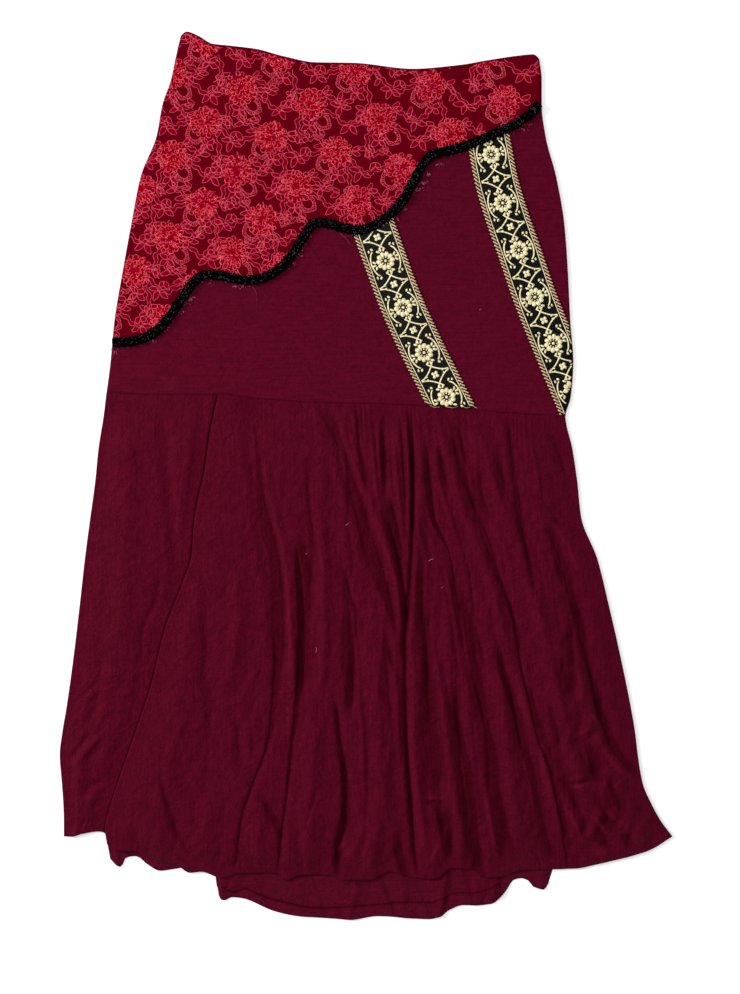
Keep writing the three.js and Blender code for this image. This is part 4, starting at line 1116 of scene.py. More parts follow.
def fill_borders(
    size: tuple[int, int], top: Border, bottom: Border, left: Border, right: Border, spacing: float = 1.0
) -> tuple[Array, Array]:
    """Fill four borders with a smooth grid of board places.

    Args:
        size: Steps across and steps lengthwise.
        top: The border at the top, from left to right.
        bottom: The border at the bottom, from left to right.
        left: The border on the left, from top to bottom.
        right: The border on the right, from top to bottom.
        spacing: Power of the lengthwise steps; below 1 the rows lie closer towards the hem.

    Returns:
        The grid's x and down values.
    """
    across = np.linspace(0, 1, size[0] + 1)
    lengthwise = np.linspace(0, 1, size[1] + 1) ** spacing
    head, foot = top.places(across), bottom.places(across)
    near, far = left.places(lengthwise)[:, ::-1], right.places(lengthwise)[:, ::-1]
    s, t = across[None, :, None], lengthwise[:, None, None]
    ends = mix(head[None], foot[None], t) + mix(near[:, None], far[:, None], s)
    grid = ends - mix(mix(near[0], far[0], s), mix(near[-1], far[-1], s), t)
    return grid[..., 0], grid[..., 1]


class Surface(Enum):
    """Which side of the wine cloth faces up."""

    FACE = "face"
    INSIDE = "inside"


class NodeBook:
    """A material's node tree under construction."""

    def __init__(self, name: str) -> None:
        """Start an empty material with an output.

        Args:
            name: The material's name.
        """
        self.material = bpy.data.materials.new(name)
        self.material.use_nodes = True
        self.tree = self.material.node_tree
        self.tree.nodes.clear()

    def node(self, kind: str, links: dict[str, object] | None = None, **settings: object) -> bpy.types.Node:
        """Add a node, set it up and link it.

        Args:
            kind: The node's type name.
            links: Input names with what feeds them: a socket, or a plain value.
            settings: Properties of the node itself.

        Returns:
            The new node.
        """
        made = self.tree.nodes.new(kind)
        for key, value in settings.items():
            setattr(made, key, value)
        for key, value in (links or {}).items():
            place = made.inputs[int(key)] if key.isdigit() else made.inputs[key]
            if isinstance(value, bpy.types.NodeSocket):
                self.tree.links.new(value, place)
            else:
                place.default_value = value
        return made

    def place(self) -> bpy.types.NodeSocket:
        """Add the point's place on the piece, in metres."""
        return self.node("ShaderNodeTexCoord").outputs["Object"]

    def noise(
        self,
        place: bpy.types.NodeSocket,
        scale: float,
        detail: float = 2.0,
        rough: float = 0.5,
        bend: float = 0.0,
    ) -> bpy.types.NodeSocket:
        """Add noise.

        Args:
            place: Where it is read.
            scale: Patches to a metre.
            detail: How many finer layers it has.
            rough: How strong the finer layers are.
            bend: How far the patches are bent out of shape.

        Returns:
            A value from 0 to 1.
        """
        links = {"Vector": place, "Scale": scale, "Detail": detail, "Roughness": rough, "Distortion": bend}
        return self.node("ShaderNodeTexNoise", links).outputs["Fac"]

    def maths(
        self, operation: str, first: bpy.types.NodeSocket, second: bpy.types.NodeSocket | float
    ) -> bpy.types.NodeSocket:
        """Add one sum or product."""
        return self.node("ShaderNodeMath", {"0": first, "1": second}, operation=operation).outputs[0]

    def blend(self, share: bpy.types.NodeSocket, first: object, code: str) -> bpy.types.NodeSocket:
        """Blend a colour towards a hex colour by a share from 0 to 1."""
        links = {"0": share, "6": first, "7": hex_to_linear(code)}
        return self.node("ShaderNodeMix", links, data_type="RGBA").outputs[2]

    def bump(
        self,
        height: bpy.types.NodeSocket,
        strength: float,
        depth_mm: float,
        over: bpy.types.NodeSocket | None = None,
    ) -> bpy.types.NodeSocket:
        """Add a relief so many mm deep, over another one if there is one."""
        links = {"Height": height, "Strength": strength, "Distance": depth_mm * MM}
        if over is not None:
            links["Normal"] = over
        return self.node("ShaderNodeBump", links).outputs["Normal"]

    def ramp(self, factor: bpy.types.NodeSocket, stops: Sequence[tuple[float, str]]) -> bpy.types.NodeSocket:
        """Add a colour ramp with hex colours at its stops and give its colour."""
        made = self.node("ShaderNodeValToRGB", {"Fac": factor})
        band = made.color_ramp
        while len(band.elements) < len(stops):
            band.elements.new(0.5)
        for element, (place, code) in zip(band.elements, stops):
            element.position = place
            element.color = hex_to_linear(code)
        return made.outputs["Color"]

    def surface(self, links: dict[str, object]) -> bpy.types.Material:
        """Finish the material with a surface that these inputs feed."""
        shader = self.node("ShaderNodeBsdfPrincipled", links)
        self.node("ShaderNodeOutputMaterial", {"Surface": shader.outputs["BSDF"]})
        return self.material


class Grain(Enum):
    """Which way the slub of the cloth runs on the board."""

    ACROSS = "across"
    DOWN = "down"


@dataclass(frozen=True)
class WineCrepe:
    """Viscose crepe, piece-dyed wine red: a dry face with a faint slub.

    The slub gives the eye soft streaks along the weft, the crepe yarn a fine grain, and the
    floats on the face a weak wine-coloured lustre where a fold turns to the light.

    Attributes:
        side: Which side faces up.
        grain: Which way the slub runs.
        face: Hex colour of the cloth.
        slub: Hex colour between the slubs.
        deep: Hex colour of the painted shade that a mark above 0 leads to.
        crest: Hex colour of the painted highlight that a mark below 0 leads to.
        roughness: Its roughness.
        grain_mm: Size of the crepe's grain.
        slub_mm: Width of a slub.
        crinkle_mm: Size of the crinkles.
        crinkle_depth_mm: Their depth.
    """

    side: Surface = Surface.FACE
    grain: Grain = Grain.ACROSS
    face: str = "5C0B24"
    slub: str = "4B071B"
    deep: str = "1E0104"
    crest: str = "8E1A3C"
    roughness: float = 0.5
    grain_mm: float = 1.3
    slub_mm: float = 2.4
    crinkle_mm: float = 9.0
    crinkle_depth_mm: float = 1.7

    def build(self) -> bpy.types.Material:
        """Make the material."""
        book = NodeBook(f"wine_crepe_{self.side.value}_{self.grain.value}")
        place = book.place()
        fine, long = 1 / (self.slub_mm * MM), 1 / (self.slub_mm * 11 * MM)
        scale = (long, fine, 1.0) if self.grain is Grain.ACROSS else (fine, long, 1.0)
        stretched = book.node("ShaderNodeMapping", {"Vector": place, "Scale": scale}).outputs["Vector"]
        slub = book.noise(stretched, 1.0, 3.0, 0.6)
        grain = book.noise(place, 1 / (self.grain_mm * MM))
        crinkle = book.noise(place, 1 / (self.crinkle_mm * MM), 4.0, 0.6, 1.4)
        both = book.maths("ADD", slub, grain)
        third = book.maths("MULTIPLY", book.maths("ADD", both, crinkle), 1 / 3)
        cloth = book.ramp(third, [(0.41, self.slub), (0.58, self.face)])
        mark = book.node("ShaderNodeAttribute", attribute_name="mark").outputs["Fac"]
        # Painted shade and painted highlight: the mark darkens the cloth towards the deep colour above 0 and
        # lightens it towards the crest colour below 0.
        tone = book.blend(mark, cloth, self.deep)
        tone = book.blend(book.maths("MULTIPLY", mark, -1.0), tone, self.crest)
        small = book.noise(place, 1 / (self.crinkle_mm * 0.38 * MM), 3.0, bend=1.0)
        broad = book.bump(crinkle, 1.0, self.crinkle_depth_mm)
        low = book.bump(small, 0.8, self.crinkle_depth_mm * 0.45, broad)
        return book.surface(
            {
                "Base Color": tone,
                "Roughness": self.roughness,
                "Specular IOR Level": 0.12,
                "Specular Tint": hex_to_linear("C02048"),
                "Sheen Weight": 0.02,
                "Sheen Roughness": 0.4,
                "Sheen Tint": hex_to_linear("B03050"),
                "Normal": book.bump(both, 0.5, 0.4, low),
            }
        )


@dataclass(frozen=True)
class LaceNet:
    """Knitted nylon net over wine cloth: fine slanted bars that let the dark cloth show through.

    The real net has holes under a millimetre, so it is drawn at a 2 mm pitch for it to show.

    Attributes:
        bar: Hex colour of the bars.
        hole: Hex colour of the cloth in the holes.
        pitch_mm: Distance between bars.
    """

    bar: str = "780018"
    hole: str = "46000C"
    pitch_mm: float = 2.0

    def build(self) -> bpy.types.Material:
        """Make the material."""
        book = NodeBook("lace_net")
        place = book.place()
        scale = math.pi / 10 / (self.pitch_mm * MM)
        bars = []
        for turn, share in ((-38, 0.75), (52, 0.35)):
            turned = book.node(
                "ShaderNodeMapping", {"Vector": place, "Rotation": (0.0, 0.0, math.radians(turn))}
            ).outputs["Vector"]
            wave = book.node(
                "ShaderNodeTexWave", {"Vector": turned, "Scale": scale, "Distortion": 1.2, "Detail": 1.0}
            ).outputs["Fac"]
            bars.append(book.maths("MULTIPLY", wave, share))
        net = book.maths("ADD", bars[0], bars[1])
        return book.surface(
            {
                "Base Color": book.ramp(net, [(0.2, self.hole), (1.0, self.bar)]),
                "Roughness": 0.7,
                "Specular IOR Level": 0.0,
                "Normal": book.bump(net, 0.3, 0.2),
            }
        )


@dataclass(frozen=True)
class DyedYarn:
    """A spun or filament yarn in one dye, its shade uneven along its length.

    Attributes:
        name: The material's name.
        light: Hex colour of the lit twist.
        dark: Hex colour between the plies.
        roughness: Its roughness.
        grain_mm: Size of the uneven patches.
        sheen: Sheen weight of its fibre ends.
        specular: Specular level of its filaments.
        metallic: How metallic the yarn is.
        glint: Strength of a painted glint: a glow in the light colour that stands in for glints too fine to
            be drawn.
    """

    name: str
    light: str
    dark: str
    roughness: float = 0.6
    grain_mm: float = 1.2
    sheen: float = 0.1
    specular: float = 0.35
    metallic: float = 0.0
    glint: float = 0.0

    def build(self) -> bpy.types.Material:
        """Make the material."""
        book = NodeBook(self.name)
        patches = book.noise(book.place(), 1 / (self.grain_mm * MM))
        return book.surface(
            {
                "Base Color": book.ramp(patches, [(0.38, self.dark), (0.62, self.light)]),
                "Roughness": self.roughness,
                "Metallic": self.metallic,
                "Specular IOR Level": self.specular,
                "Specular Tint": hex_to_linear(self.light),
                "Sheen Weight": self.sheen,
                # Painted glint: the yarn glows in its light colour by the glint's strength.
                "Emission Color": hex_to_linear(self.light),
                "Emission Strength": self.glint,
                "Normal": book.bump(patches, 0.35, 0.2),
            }
        )


@dataclass(frozen=True)
class SatinGround:
    """Warp-faced black satin of a figured ribbon: smooth, with a faint thread grain.

    Attributes:
        ground: Hex colour of the ground.
        thread: Hex colour of the threads that catch the light.
        threads_per_metre: How many of them lie on a metre.
    """

    ground: str = "050605"
    thread: str = "0C0F0B"
    threads_per_metre: float = 900.0

    def build(self) -> bpy.types.Material:
        """Make the material."""
        book = NodeBook("ribbon_satin")
        grain = book.noise(book.place(), self.threads_per_metre)
        return book.surface(
            {
                "Base Color": book.ramp(grain, [(0.4, self.ground), (0.65, self.thread)]),
                "Roughness": 0.42,
                "Specular IOR Level": 0.08,
                "Normal": book.bump(grain, 0.3, 0.15),
            }
        )


@dataclass
class Workshop:
    """What every sub-assembly shares: the lie of the cloth and the finishes.

    Attributes:
        form: The lie of the cloth.
        yoke_face: Cloth of the front yoke, its slub across and its crinkle low.
        flounce_face: Cloth of the flounce, its slub lengthwise.
        wine_inside: The cloth's inside, a little greyer.
    """

    form: LaidForm = field(default_factory=LaidForm)
    yoke_face: bpy.types.Material = field(default_factory=lambda: WineCrepe(crinkle_depth_mm=0.9).build())
    flounce_face: bpy.types.Material = field(
        default_factory=lambda: WineCrepe(grain=Grain.DOWN, face="590A22", slub="49061A").build()
    )
    wine_inside: bpy.types.Material = field(
        default_factory=lambda: WineCrepe(side=Surface.INSIDE, face="5E0D26", slub="4E0A1D").build()
    )


def declare(made: bpy.types.Object, replaces: str = "") -> bpy.types.Object:
    """Put a piece on the skirt's one body and log it.

    Args:
        made: The piece.
        replaces: The node that it stands for, if it stands for one.

    Returns:
        The same piece.
    """
    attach(made, "root")
    if replaces:
        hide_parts(replaces)
    triangles = sum(len(p.vertices) - 2 for p in made.data.polygons)
    log.info("%s: %d triangles", made.name, triangles)
    return made


@dataclass
class ClothPanel:
    """A panel of the wine cloth that stands for one CAD node.

    Attributes:
        shop: The shared form and finishes.
        node: The node that it replaces; the piece is named after it.
        size: Grid steps across and lengthwise.
        flat: Width and length of the cut in metres; not used.
        area: Flat area of the cut in square metres; not used.
        rests_on: The piece that it lies on; not used.
        held: How the cloth is held; not used.
    """

    shop: Workshop
    node: str
    size: tuple[int, int]
    flat: tuple[float, float]
    area: float
    rests_on: str
    held: str = "laid"

    def grid(self) -> tuple[Array, Array, Array, Array | float]:
        """Give the board x, down, height and mark of the panel's middle points.

        A mark above 0 is painted shade that darkens the cloth, and one below 0 is a painted highlight that
        lightens it.
        """
        raise NotImplementedError

    def finish(self) -> tuple[bpy.types.Material, str]:
        """Give the panel's material and the name of its slot."""
        return self.shop.flounce_face, "wine_cloth"

    def build(self) -> bpy.types.Object:
        x, down, height, mark = self.grid()
        material, slot = self.finish()
        work = MeshWork()
        add_shell(work, board_to_frame(x, down, height), CLOTH, mark)
        made = declare(work.build(f"{self.node}_cloth", [material]), self.node)
        return made


class InsidePanel(ClothPanel):
    """A panel of which the cloth's inside faces up."""

    def finish(self) -> tuple[bpy.types.Material, str]:
        """Give the panel's material and the name of its slot."""
        return self.shop.wine_inside, "wine_cloth_inside"


def yoke_grid(form: LaidForm, size: tuple[int, int], rim: float, foot: float) -> tuple[Array, Array]:
    """Give the board places of a yoke.

    Args:
        form: The lie of the cloth.
        size: Steps across and steps lengthwise.
        rim: How far its top edge lies below the waist line in mm.
        foot: How far its lower edge lies below the dropped seam in mm.

    Returns:
        The grid's x and down values.
    """
    (left, right), (left_foot, right_foot) = WAIST_SPAN, YOKE_FEET
    return fill_borders(
        size,
        Border(left, right, lambda at: form.waist(at) + rim),
        Border(form.left_side(left_foot), form.right_side(right_foot), lambda at: form.seam(at) + foot),
        Border(float(form.waist(left)) + rim, left_foot, form.left_side),
        Border(float(form.waist(right)) + rim, right_foot, form.right_side),
    )


class YokeFront(ClothPanel):
    """The front hip yoke."""

    def grid(self) -> tuple[Array, Array, Array, Array | float]:
        """Give the board x, down, height and mark of the panel's middle points."""
        form = self.shop.form
        x, down = yoke_grid(form, self.size, rim=0.8, foot=0.7)
        return x, down, form.yoke_front(x, down), 0.0

    def finish(self) -> tuple[bpy.types.Material, str]:
        """Give the panel's material and the name of its slot."""
        return self.shop.yoke_face, "wine_cloth"


class YokeBack(InsidePanel):
    """The back hip yoke, its top edge showing as a thin dark rim behind the lace."""

    def grid(self) -> tuple[Array, Array, Array, Array | float]:
        """Give the board x, down, height and mark of the panel's middle points."""
        form = self.shop.form
        x, down = yoke_grid(form, self.size, rim=0.0, foot=-SEAM_GAP / 2)
        return x, down, form.yoke_back(x, down), 0.0


def turnup_crease_shade(x: Array, down: Array) -> Array:
    """Give the painted shade of the creases across the back hem at each place."""
    bars = [
        tone * np.exp(-(((x - at - lean * (down - 895)) / half) ** 2))
        for at, half, lean, tone in TURNUP_CREASE_SHADES
    ]
    return smoothstep(down, 862, 874) * np.max(bars, axis=0)


class FlounceBack(InsidePanel):
    """The back flounce; its inside shows below the front hem."""

    def grid(self) -> tuple[Array, Array, Array, Array | float]:
        """Give the board x, down, height and mark of the panel's middle points."""
        form = self.shop.form
        left, right = FLOUNCE_HEADS
        (left_x, left_foot), (right_x, right_foot) = BACK_HEM[0], BACK_HEM[-1]
        x, down = fill_borders(
            self.size,
            Border(form.left_side(left), form.right_side(right), lambda at: form.seam(at) + SEAM_GAP / 2),
            Border(left_x, right_x, form.back_hem),
            Border(left, left_foot, form.left_side),
            Border(right, right_foot, form.right_side),
            spacing=0.8,
        )
        # Painted shade: a faint darkening over the whole panel, and the crease bars near the hem.
        mark = np.clip(0.03 + turnup_crease_shade(x, down), 0.0, 0.8)
        return x, down, form.back_height(x, down), mark


class HemTurnup(InsidePanel):
    """The hem allowance turned up on the inside of the back flounce."""

    def grid(self) -> tuple[Array, Array, Array, Array | float]:
        """Give the board x, down, height and mark of the panel's middle points."""
        form = self.shop.form
        first, last, inset = 221.5, 500.0, 0.4
        x, down = fill_borders(
            self.size,
            Border(first, last, form.turnup),
            Border(first, last, lambda at: form.back_hem(at) - inset),
            Border(float(form.turnup(first)), float(form.back_hem(first)) - inset, lambda at: at * 0 + first),
            Border(float(form.turnup(last)), float(form.back_hem(last)) - inset, lambda at: at * 0 + last),
        )
        raised = mix(1.0, 0.78, np.linspace(0, 1, self.size[1] + 1)[:, None] ** 3)
        # Painted shade: a dark line along the turned-up edge, and the crease bars.
        turned_edge_shade = 0.75 * (1 - smoothstep(down - form.turnup(x), 0.3, 2.4))
        mark = np.clip(turned_edge_shade + turnup_crease_shade(x, down), 0.0, 0.8)
        return x, down, form.back_height(x, down) + raised, mark


class FlounceLeft(ClothPanel):
    """The left panel of the flounce, tucked under the front's pleat."""

    def grid(self) -> tuple[Array, Array, Array, Array | float]:
        """Give the board x, down, height and mark of the panel's middle points."""
        form = self.shop.form
        left, tuck_top, tuck_foot = FLOUNCE_HEADS[0], 393.0, 842.0

        def tucked(at: Array) -> Array:
            return form.pleat(at) + PLEAT_TUCK

        x, down = fill_borders(
            self.size,
            Border(form.left_side(left), tucked(tuck_top), lambda at: form.seam(at) - SEAM_GAP),
            Border(64.3, tucked(tuck_foot), form.left_hem),
            Border(left, LEFT_HEM[0][1], form.left_side),
            Border(tuck_top, tuck_foot, tucked),
        )
        # Painted shade in the nook just left of the pleat's edge.
        pleat_nook_shade = 0.95 * (1 - smoothstep(form.pleat(down) - x, 0.8, 3.6))
        return x, down, form.left_height(x, down), pleat_nook_shade


class FlounceFront(ClothPanel):
    """The gathered front flounce, its left edge turned back as a rolled pleat."""

    def grid(self) -> tuple[Array, Array, Array, Array | float]:
        """Give the board x, down, height and mark of the panel's middle points."""
        form = self.shop.form
        turned, pleat_top, pleat_foot = 8, 392.0, 846.0
        right, (right_x, right_foot) = FLOUNCE_HEADS[1], FRONT_HEM[-1]
        x, down = fill_borders(
            (self.size[0] - turned, self.size[1]),
            Border(form.pleat(pleat_top), form.right_side(right), lambda at: form.seam(at) - SEAM_GAP),
            Border(FRONT_HEM[0][0], right_x, form.front_hem),
            Border(pleat_top, pleat_foot, form.pleat),
            Border(right, right_foot, form.right_side),
        )
        x[:, 0] += PLEAT_BEND_RADIUS
        height = form.front_height(x, down)
        # Painted shade of the facets, less the painted highlight of the crests; none on the turned-back
        # columns.
        shade = np.concatenate([np.zeros((len(x), turned)), form.front_shade(x, down)], axis=1)
        x = x + form.front_shift(x, down)
        angles = -math.pi / 2 - math.pi * np.arange(turned - 2) / (turned - 2)
        edge = x[:, :1] - PLEAT_BEND_RADIUS
        bend_x = edge + PLEAT_BEND_RADIUS * (1 + np.cos(angles))[None, :]
        bend_height = PLEAT_MID + PLEAT_BEND_RADIUS * (1 + np.sin(angles))[None, :] + 0 * edge
        flat_height = np.full_like(edge, PLEAT_MID)
        lead_down = np.repeat(down[:, :1], turned, axis=1)
        height = np.concatenate([flat_height, flat_height, bend_height, height], axis=1)
        return (
            np.concatenate([edge + PLEAT_RETURN, edge + PLEAT_RETURN * 0.6, bend_x, x], axis=1),
            np.concatenate([lead_down, down], axis=1),
            height,
            # Painted shade from the depth of the folds and the facets, less the painted highlight of the
            # crests.
            np.clip(0.38 * self.hollow(height) + shade, -0.7, 0.72),
        )

    def hollow(self, height: Array) -> Array:
        """Give how deep in a fold each grid point lies, most of all inside the pleat's bend, for painted
        shade.
        """
        wide = height.copy()
        for _ in range(26):
            wide = (wide + np.roll(wide, 1, axis=1) + np.roll(wide, -1, axis=1)) / 3
        hollow = np.clip((wide - height - 0.3) / 3.2, 0.0, 1.0)
        hollow[:, :12] = 0.0
        hollow[:, 1:5] = 1.4
        return hollow


@dataclass(frozen=True)
class Spray:
    """A cluster of leaves in the lace's repeat.

    Attributes:
        x: Place of its foot from the flower's centre in mm, towards the side that the tendril is on.
        down: The same, towards the hem, before the repeat's slant is added.
        turns: Directions that its leaves point in, in degrees from x towards the hem.
        length: Length of a leaf in mm.
        breadth: Breadth of a leaf in mm.
    """

    x: float
    down: float
    turns: tuple[float, ...]
    length: float
    breadth: float


SPRAYS = (
    Spray(-2, 22, (-140, -40, 40, 140), 8.5, 6.4),
    Spray(15, 39, (-15, 75, 170), 10.5, 6.0),
    Spray(39, 12, (-6, 60, 140), 11.5, 6.4),
    Spray(-13, 33, (95, 190), 9.5, 5.6),
    Spray(27, -8, (-65, 15), 9.5, 5.6),
    Spray(-16, -5, (205, 150), 9.0, 5.8),
    Spray(12, -13, (-55, -10), 8.5, 5.6),
    Spray(-5, 44, (60, 130), 9.0, 5.6),
    Spray(50, 4, (-60, 50), 8.5, 5.4),
)

# Stems of the repeat, from the flower's centre in mm, before the slant
STEMS = (
    ((14, 4), (24, 6), (31, 13), (39, 12), (47, 5), (54, 0)),
    ((3, 15), (1, 24), (6, 32), (15, 39), (21, 38)),
    ((-9, 13), (-14, 22), (-13, 33), (-8, 42)),
    ((12, -12), (20, -11), (27, -8), (33, -14)),
)


@dataclass
class LaceOverlay:
    """The corded lace laid over the front yoke, from the waist to the braid.

    Attributes:
        shop: The shared form and finishes.
        rim: Width of cloth left showing at the waist in mm.
        cord: Width of the outlining cord in mm.
        flower_radius: Radius of a flower in mm.
        leaf_cord: Width of the cord round the leaves in mm.
        slant: How far the rows of flowers slant down to the right, as a slope.
        seed: Seed of the small unevennesses.
    """

    shop: Workshop
    rim: float = 1.6
    cord: float = 0.85
    flower_radius: float = 16.5
    leaf_cord: float = 0.62
    slant: float = 0.22
    seed: int = 11

    def height(self, x: Array, down: Array) -> Array:
        """Give the height of the middle of the net."""
        return FRONT_MID + self.shop.form.yoke_rise(x, down) + LACE_RISE

    def inside(self, x: Array, down: Array, margin: float = 0.0) -> Array:
        """Say which places lie on the lace, at least a margin in mm from its edges."""
        form = self.shop.form
        return (
            (down > form.waist(x) + self.rim + margin)
            & (down < form.braid(x) - margin + 1.0)
            & (x > form.left_side(down) + 0.6 + margin)
            & (x < form.right_side(down) - 0.6 - margin)
            & (x < 541)
        )

    def build_net(self) -> bpy.types.Object:
        """Make the net itself as a thin shell."""
        form = self.shop.form
        top_left, top_right, above_braid, aside = 182.5, 538.0, 1.5, 0.6
        low_left, low_right = float(form.left_side(341)) + aside, 540.5
        tops = [float(form.waist(at)) + self.rim for at in (top_left, top_right)]
        feet = [float(form.braid(at)) - above_braid for at in (low_left, low_right)]
        x, down = fill_borders(
            (180, 120),
            Border(top_left, top_right, lambda at: form.waist(at) + self.rim),
            Border(low_left, low_right, lambda at: form.braid(at) - above_braid),
            Border(tops[0], feet[0], lambda at: form.left_side(at) + aside),
            Border(tops[1], feet[1], lambda at: form.right_side(at) - aside),
        )
        work = MeshWork()
        add_shell(work, board_to_frame(x, down, self.height(x, down)), NET)
        return declare(work.build("lace_net", [LaceNet().build()]), "lace_overlay")

    def centres(self) -> list[tuple[float, float, float]]:
        """Give each flower's centre on the board and the side that its tendril curls to."""
        found = []
        for row in range(-2, 8):
            step = max(63.0, 69.5 - 2.5 * row)
            for column in range(-4, 6):
                along = column - (0.5 if row % 2 else 0.0)
                x = 241.8 + along * step - 2.25 * row - max(0.0, along) * 2.6 * row
                down = 89.7 + along * 15.3 + 41.0 * row
                found.append((x, down, -1.0 if row % 2 else 1.0))
        return found

    def spot(self, x0: float, d0: float, side: float, x: Array, down: Array) -> tuple[Array, Array]:
        """Turn places of the repeat into board places, slanted as the rows of flowers are."""
        across = side * np.asarray(x, float)
        return x0 + across, d0 + np.asarray(down, float) + self.slant * across

    def add_cord(
        self, work: MeshWork, places: tuple[Array, Array], width: float, raised: float, closed: bool = False
    ) -> None:
        """Add a three-cornered cord along board places, cut where it leaves the lace.

        Args:
            work: Where it goes.
            places: Places to the right and places towards the hem.
            width: The cord's width in mm.
            raised: Height of its top above the net in mm.
            closed: Whether its last place joins its first.
        """
        x, down = places
        section = ((-width / 2, -0.05), (width / 2, -0.05), (0.0, raised))
        keep = self.inside(x, down, 0.4)
        if closed and keep.all():
            work.add_thread(x, down, self.height(x, down) + NET / 2, section, True)
            return
        if closed:
            x, down, keep = (np.append(line, line[0]) for line in (x, down, keep))
        for part in unbroken(keep):
            base = self.height(x[part], down[part]) + NET / 2
            work.add_thread(x[part], down[part], base, section)

    def add_patch(self, work: MeshWork, x: Array, down: Array, raised: float) -> None:
        """Add a flat filled patch inside a closed outline, cut off at the edges of the lace."""
        if not self.inside(x, down, 0.2).any():
            return
        form = self.shop.form
        x = np.clip(x, form.left_side(down) + 0.9, np.minimum(form.right_side(down) - 0.9, 540.4))
        down = np.clip(down, form.waist(x) + self.rim + 0.3, form.braid(x) + 0.6)
        middle_x, middle_down = x.mean(), down.mean()
        rim = board_to_frame(x, down, self.height(x, down) + NET / 2 + 0.02)
        top = board_to_frame(
            np.append(mix(middle_x, x, 0.96), middle_x),
            np.append(mix(middle_down, down, 0.96), middle_down),
            self.height(np.append(x, middle_x), np.append(down, middle_down)) + NET / 2 + raised,
        )
        count = len(x)
        first = work.add_points(rim)
        second = work.add_points(top)
        n = np.arange(count)
        after = (n + 1) % count
        work.add_faces(np.stack([first + n, second + n, second + after, first + after], axis=-1))
        work.add_faces(np.stack([second + n, np.full(count, second + count), second + after], axis=-1))

    def flower(self, cords: MeshWork, heads: MeshWork, x0: float, d0: float, draw: random.Random) -> None:
        """Add one flower: a ragged filled head under rings of petals and short curls of cord."""
        turn = np.linspace(0, 2 * math.pi, 36, endpoint=False)
        phase = draw.uniform(0, 2 * math.pi)
        ragged = 0.86 + 0.1 * np.abs(np.sin(4.5 * turn + phase)) + 0.05 * np.sin(3 * turn + phase)
        radius = self.flower_radius * ragged
        self.add_patch(heads, x0 + radius * np.cos(turn), d0 + radius * np.sin(turn), 0.14)
        petal = np.array([(-0.4, 0.0), (-0.62, 0.55), (-0.3, 1.0), (0.3, 1.02), (0.62, 0.5), (0.36, 0.0)])
        for ring, count, size in ((12.0, 13, 4.8), (7.8, 9, 4.4), (4.0, 6, 3.8)):
            for k in range(count):
                angle = 2 * math.pi * (k + 0.5 * draw.random()) / count + ring
                away = ring + draw.uniform(-0.9, 0.9)
                tilt = angle + draw.uniform(-0.5, 0.5)
                across = petal[:, 0] * size * draw.uniform(0.55, 1.0)
                out = petal[:, 1] * size * draw.uniform(0.6, 1.05)
                px = x0 + away * math.cos(angle) + out * math.cos(tilt) - across * math.sin(tilt)
                pd = d0 + away * math.sin(angle) + out * math.sin(tilt) + across * math.cos(tilt)
                self.add_cord(cords, (px, pd), self.cord, 0.4 + 0.25 * draw.random())
        t = np.linspace(0, 1, 4)
        for _ in range(46):
            away = self.flower_radius * 0.95 * math.sqrt(draw.random())
            angle, tilt = draw.uniform(0, 2 * math.pi), draw.uniform(0, 2 * math.pi)
            out, across = t * draw.uniform(1.6, 3.4), draw.uniform(-1.2, 1.2) * np.sin(t * 3.1)
            sx = x0 + away * math.cos(angle) + out * math.cos(tilt) - across * math.sin(tilt)
            sd = d0 + away * math.sin(angle) + out * math.sin(tilt) + across * math.cos(tilt)
            self.add_cord(cords, (sx, sd), self.cord * draw.uniform(0.8, 1.3), 0.5 + 0.25 * draw.random())

    def tendril(
        self, cords: MeshWork, fills: MeshWork, x0: float, d0: float, side: float, draw: random.Random
    ) -> None:
        """Add the hooked tendril beside the flower's foot, knotted along its outer bend."""
        middle_x, middle_down, first, last = 11.0, 15.0, math.radians(-75), math.radians(165)
        t = np.linspace(0, 1, 20)
        angle = mix(first, last, t)
        hook = [
            self.spot(x0, d0, side, middle_x + reach * np.cos(angle), middle_down + reach * np.sin(angle))
            for reach in (8.8 + 0.7 * np.sin(t * 19), 5.4)
        ]
        for line in hook:
            self.add_cord(cords, line, self.leaf_cord, 0.42)
        self.add_band(fills, *hook, 0.12)
        knot = np.linspace(0, 2 * math.pi, 7, endpoint=False)
        for place in np.linspace(0.08, 0.92, 7):
            turn = mix(first, last, place)
            cx = middle_x + 7.2 * math.cos(turn) + 1.5 * np.cos(knot)
            cd = middle_down + 7.2 * math.sin(turn) + 1.3 * np.sin(knot)
            raised = 0.5 + 0.2 * draw.random()
            self.add_cord(cords, self.spot(x0, d0, side, cx, cd), self.leaf_cord, raised, True)

    def leaf(
        self,
        cords: MeshWork,
        fills: MeshWork,
        foot: tuple[float, float],
        turn: float,
        spray: Spray,
        draw: random.Random,
    ) -> None:
        """Add one leaf: a filled patch inside a wavy cord outline."""
        t = np.linspace(0, 2 * math.pi, 13, endpoint=False)
        size = draw.uniform(0.88, 1.12)
        along = spray.length * size / 2 * (1 - np.cos(t)) + 0.6
        swell = np.sin(t) * (0.8 + 0.2 * np.cos(t - 0.5)) * (1 + 0.16 * np.sin(4 * t + turn))
        aside = spray.breadth * size / 2 * swell
        x = foot[0] + along * math.cos(turn) - aside * math.sin(turn)
        down = foot[1] + along * math.sin(turn) + aside * math.cos(turn)
        self.add_patch(fills, x, down, 0.1)
        self.add_cord(cords, (x, down), self.leaf_cord, 0.4, True)

